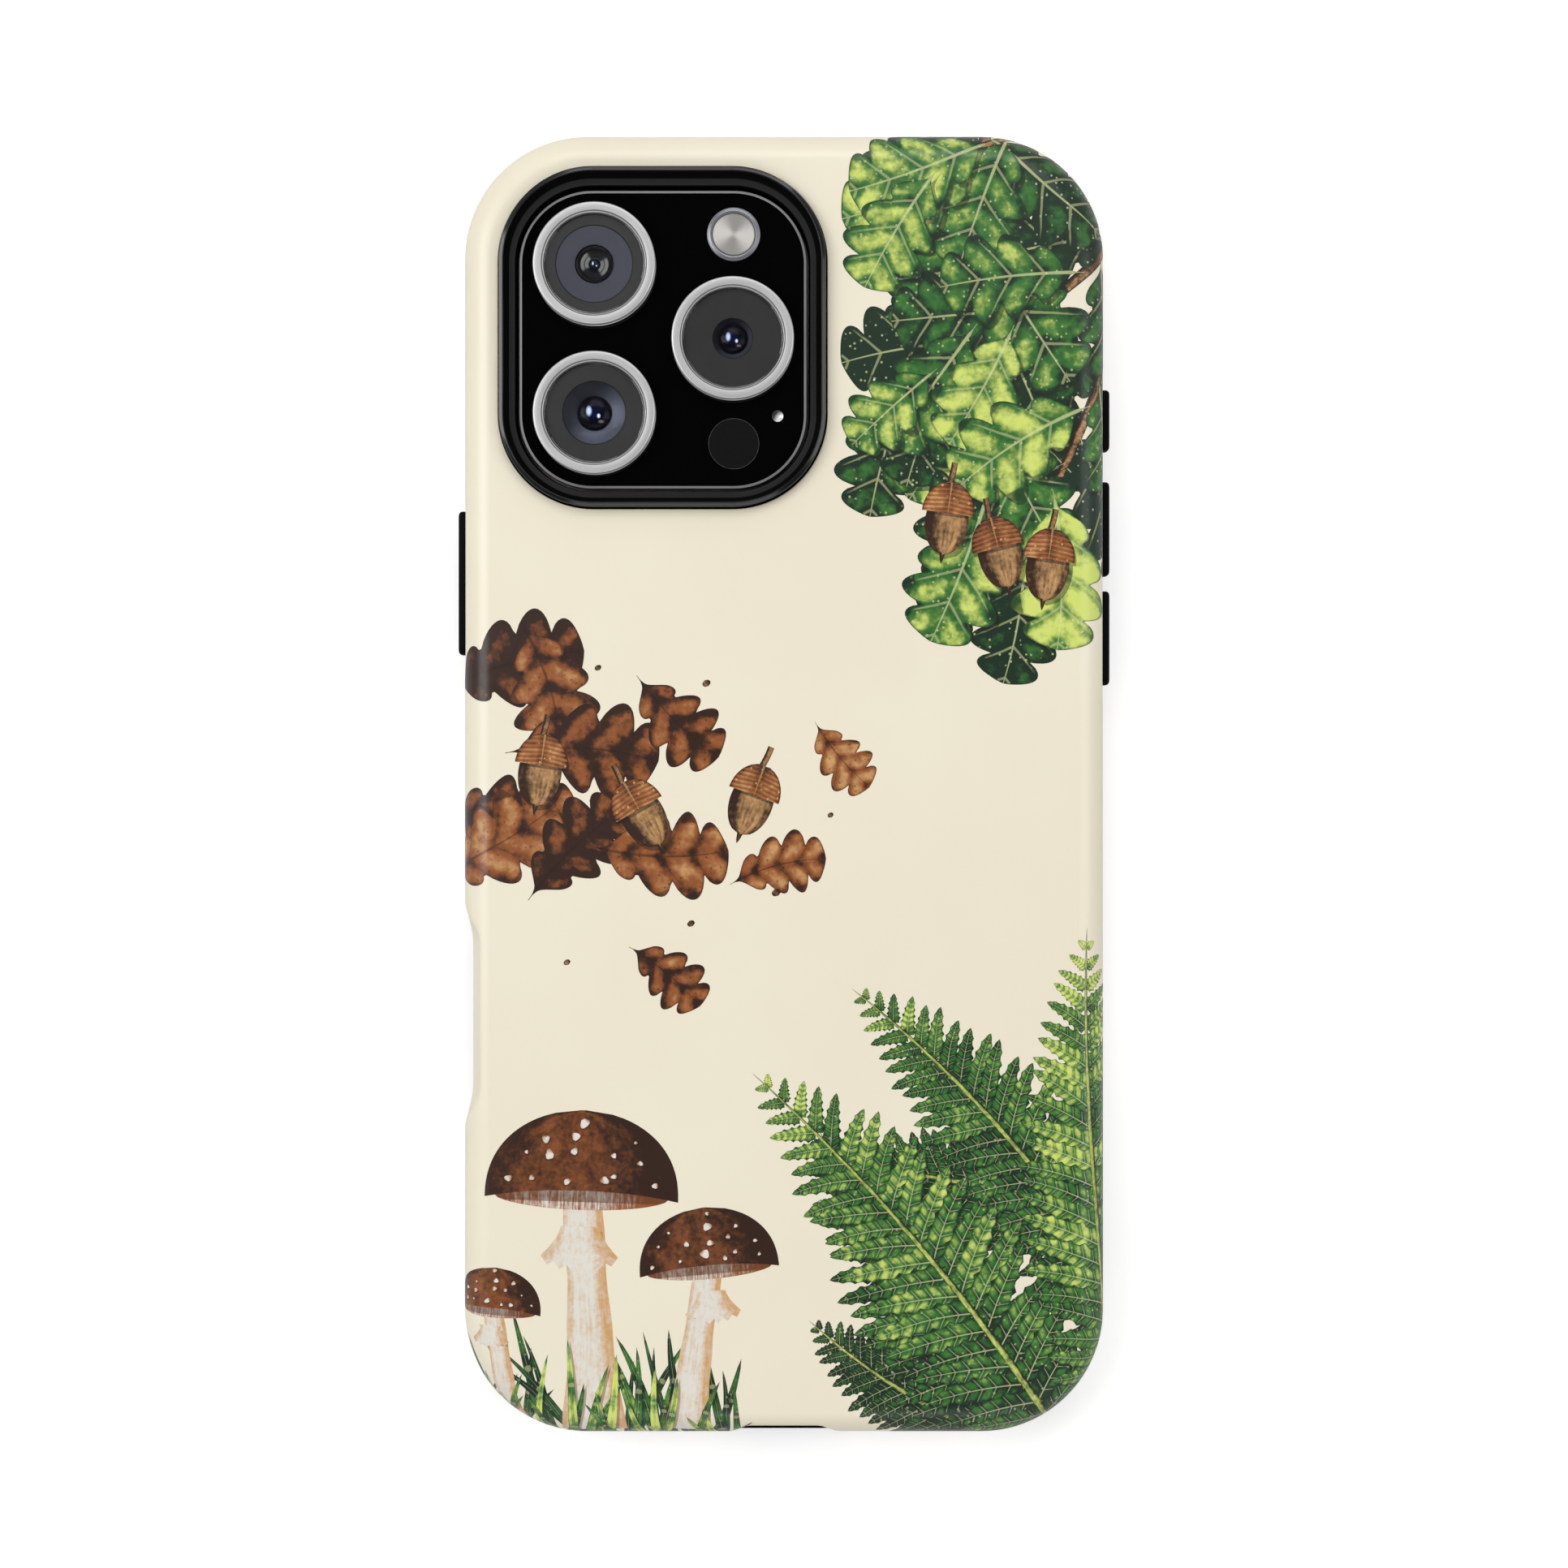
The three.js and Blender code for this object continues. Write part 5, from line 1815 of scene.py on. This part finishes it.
def mushroom(motif, draw, x, y, size, cap, tilt, tint):
    """One mushroom: stem, gills, skirt and a domed cap. Sizes in millimetres, tilt in degrees."""
    stem = leaf(x * MM, y * MM, 90 + tilt, size * 0.78 * MM, cap * 0.26 * MM, -tilt,
                lambda along: 0.78 + 0.55 * (1 - along) ** 3 + 0.03 * math.sin(along * 17))
    motif.field(stem, 6, 30, 0.8, 2)
    top = Vector(stem(0, 1.0)) / MM
    lean = math.radians(-tilt)

    def turned(local_x, local_y):
        return ((top.x + local_x * math.cos(lean) - local_y * math.sin(lean)) * MM,
                (top.y + local_x * math.sin(lean) + local_y * math.cos(lean)) * MM)

    def skirt(across, along):
        half = cap * (0.1 + 0.1 * (1 - along) ** 1.6)
        sag = 0.05 * cap * (1 - across * across) * (1 - along)
        frill = 0.016 * cap * math.cos(across * 19) * (1 - along)
        return turned(across * half, -0.34 * cap + 0.17 * cap * along - sag + frill)

    def gill(across, along):
        span = math.sqrt(max(1 - across * across, 0.0))
        low, high = -0.085 * cap * span, 0.1 * cap * span
        return turned(across * cap * 0.47, low + (high - low) * along)

    def dome(across, along):
        span = math.sqrt(max(1 - along ** 2.3, 0.0006))
        lift = 0.045 * cap * (1 - abs(across) ** 2.2) * (1 - along)
        return turned(across * span * cap * 0.5, -0.03 * cap + along * cap * 0.46 + lift)

    motif.shadow(gill, 6, (0.3, -1.3))
    motif.field(gill, 24, 6, 0.45, 3)
    motif.shadow(skirt, 6, (0.3, -0.6))
    motif.field(skirt, 12, 5, 0.85, 2)
    motif.shadow(dome, 26, (0.0, -0.35))
    motif.field(dome, 12, 26, tint, 1)
    for row, count in ((0.16, 6), (0.42, 5), (0.68, 3), (0.88, 1)):
        for number in range(count):
            across = (number + 0.5) * 2 / count - 1 + draw.uniform(-0.12, 0.12)
            fleck_x, fleck_y = dome(0.86 * across, row + draw.uniform(-0.07, 0.07))
            wide = cap * draw.uniform(0.03, 0.07) * (1 - 0.45 * abs(across)) * MM
            fleck = disc_shape(fleck_x, fleck_y, wide, wide * draw.uniform(0.7, 1.0),
                               draw.uniform(0, 180), 0.12)
            motif.shadow(fleck, 6, (0.1, -0.15))
            motif.field(fleck, 4, 8, draw.uniform(0.6, 1.0), 4)


# The studio

def build_stage():
    settings = bpy.context.scene.phone_studio
    scene = bpy.context.scene
    bm = bmesh.new()
    bmesh.ops.create_grid(bm, x_segments=1, y_segments=1, size=3)
    mesh = bpy.data.meshes.new("floor")
    bm.to_mesh(mesh)
    bm.free()
    floor = bpy.data.objects.new("floor", mesh)
    scene.collection.objects.link(floor)
    mesh.materials.append(floor_finish(settings))

    camera = bpy.data.cameras.new("camera")
    camera.lens = settings.focal_length
    camera.sensor_width = 36
    camera.clip_start = 0.01
    holder = bpy.data.objects.new("camera", camera)
    holder.location = (0, 0, settings.camera_height)
    scene.collection.objects.link(holder)
    scene.camera = holder
    scene.view_settings.view_transform = "Standard"

    # direction from the phone to the softbox, its brightness, and the lengths of its sides
    softboxes = (
        ("left", (-0.57, 0.16, 0.79), settings.left, (0.42, 0.6)),
        ("top", (0.05, 0.60, 0.79), settings.top, (0.6, 0.45)),
        ("right", (0.60, 0.02, 0.79), settings.right, (0.42, 0.6)),
        ("front", (0.05, -0.60, 0.79), settings.front, (0.6, 0.42)),
    )
    distance = 0.95
    for name, way, brightness, size in softboxes:
        light = bpy.data.lights.new(name, "AREA")
        light.shape = "RECTANGLE"
        light.size, light.size_y = size
        light.energy = brightness * math.pi * size[0] * size[1]
        lamp = bpy.data.objects.new(name, light)
        way = Vector(way).normalized()
        lamp.location = way * distance
        lamp.rotation_euler = way.to_track_quat("Z", "Y").to_euler()
        scene.collection.objects.link(lamp)
    build_sky(settings)


def floor_finish(settings):
    """A pale floor, lightened to white where it is seen, that can be looked through from below."""
    material, nodes, shader = new_material("pale floor")
    shader.inputs["Specular IOR Level"].default_value = 0.0
    shader.inputs["Emission Color"].default_value = (1, 1, 1, 1)
    mist = nodes.noise(nodes.place(), 4.0, 2.0)
    shade = nodes.mix(nodes.times(mist, 0.02), settings.floor, (0.8, 0.8, 0.8))
    set_surface(nodes, shader, shade, 0.9)
    seen = nodes.add("LightPath").outputs["Is Camera Ray"]
    nodes.feed(shader.inputs["Emission Strength"], nodes.times(seen, settings.glow))
    let_through(material, nodes, shader, nodes.add("NewGeometry").outputs["Backfacing"])
    return material


def build_sky(settings):
    """Surroundings that are dark overhead and bright round the horizon."""
    world = bpy.data.worlds.new("studio")
    world.use_nodes = True
    bpy.context.scene.world = world
    nodes = Nodes(world.node_tree)
    way = nodes.add("TexCoord").outputs["Generated"]
    share = nodes.band(nodes.parts(way)["Z"], 0.88, 0.55, 0.02, 1.0)
    backdrop = world.node_tree.nodes["Background"]
    nodes.feed(backdrop.inputs["Strength"], nodes.times(share, settings.sky))
    backdrop.inputs["Color"].default_value = (1.0, 0.99, 0.975, 1)


# Operators, panel and registration

class PHONE_OT_stage(bpy.types.Operator):
    """Make the camera, floor, lamps and sky"""

    bl_idname = "phone.stage"
    bl_label = "Studio"

    def execute(self, context):
        build_stage()
        return {"FINISHED"}


class PHONE_OT_shell(bpy.types.Operator):
    """Make the hard shell with its openings and finger scoop"""

    bl_idname = "phone.shell"
    bl_label = "Shell"

    def execute(self, context):
        build_shell()
        return {"FINISHED"}


class PHONE_OT_liner(bpy.types.Operator):
    """Make the rubber liner, its camera guard and its button covers"""

    bl_idname = "phone.liner"
    bl_label = "Liner"

    def execute(self, context):
        build_liner()
        return {"FINISHED"}


class PHONE_OT_body(bpy.types.Operator):
    """Make the phone's frame, front glass, key, port and camera block"""

    bl_idname = "phone.body"
    bl_label = "Phone"

    def execute(self, context):
        build_phone()
        return {"FINISHED"}


class PHONE_OT_cameras(bpy.types.Operator):
    """Make the lenses, flash and sensors"""

    bl_idname = "phone.cameras"
    bl_label = "Cameras"

    def execute(self, context):
        build_lenses()
        return {"FINISHED"}


class PHONE_OT_oak(bpy.types.Operator):
    """Print the oak branch"""

    bl_idname = "phone.oak"
    bl_label = "Oak print"

    def execute(self, context):
        build_oak()
        return {"FINISHED"}


class PHONE_OT_fern(bpy.types.Operator):
    """Print the fern"""

    bl_idname = "phone.fern"
    bl_label = "Fern print"

    def execute(self, context):
        build_fern()
        return {"FINISHED"}


class PHONE_OT_mushrooms(bpy.types.Operator):
    """Print the mushrooms in their grass"""

    bl_idname = "phone.mushrooms"
    bl_label = "Mushroom print"

    def execute(self, context):
        build_mushrooms()
        return {"FINISHED"}


class PHONE_OT_drift(bpy.types.Operator):
    """Print the drifting leaves"""

    bl_idname = "phone.drift"
    bl_label = "Drifting leaf print"

    def execute(self, context):
        build_drift()
        return {"FINISHED"}


STEPS = (PHONE_OT_stage, PHONE_OT_shell, PHONE_OT_liner, PHONE_OT_body, PHONE_OT_cameras,
         PHONE_OT_oak, PHONE_OT_fern, PHONE_OT_mushrooms, PHONE_OT_drift)
SETTINGS = {
    "phone_shell": ShellSettings, "phone_liner": LinerSettings, "phone_body": PhoneSettings,
    "phone_lenses": LensSettings, "phone_print": PrintSettings, "phone_studio": StudioSettings,
}


class PHONE_PT_panel(bpy.types.Panel):
    """The building steps and their settings"""

    bl_label = "Cased phone"
    bl_idname = "PHONE_PT_panel"
    bl_space_type = "VIEW_3D"
    bl_region_type = "UI"
    bl_category = "Cased phone"

    def draw(self, context):
        for step in STEPS:
            self.layout.operator(step.bl_idname)
        for name, group in SETTINGS.items():
            box = self.layout.box()
            for key in group.__annotations__:
                box.prop(getattr(context.scene, name), key)


def register():
    for group in SETTINGS.values():
        bpy.utils.register_class(group)
    for step in STEPS:
        bpy.utils.register_class(step)
    bpy.utils.register_class(PHONE_PT_panel)
    for name, group in SETTINGS.items():
        setattr(bpy.types.Scene, name, PointerProperty(type=group))


def unregister():
    for name in SETTINGS:
        delattr(bpy.types.Scene, name)
    bpy.utils.unregister_class(PHONE_PT_panel)
    for step in reversed(STEPS):
        bpy.utils.unregister_class(step)
    for group in reversed(list(SETTINGS.values())):
        bpy.utils.unregister_class(group)


def main():
    register()
    bpy.ops.phone.stage()
    bpy.ops.phone.shell()
    bpy.ops.phone.liner()
    bpy.ops.phone.body()
    bpy.ops.phone.cameras()
    bpy.ops.phone.oak()
    bpy.ops.phone.fern()
    bpy.ops.phone.mushrooms()
    bpy.ops.phone.drift()


if __name__ == "__main__":
    main()
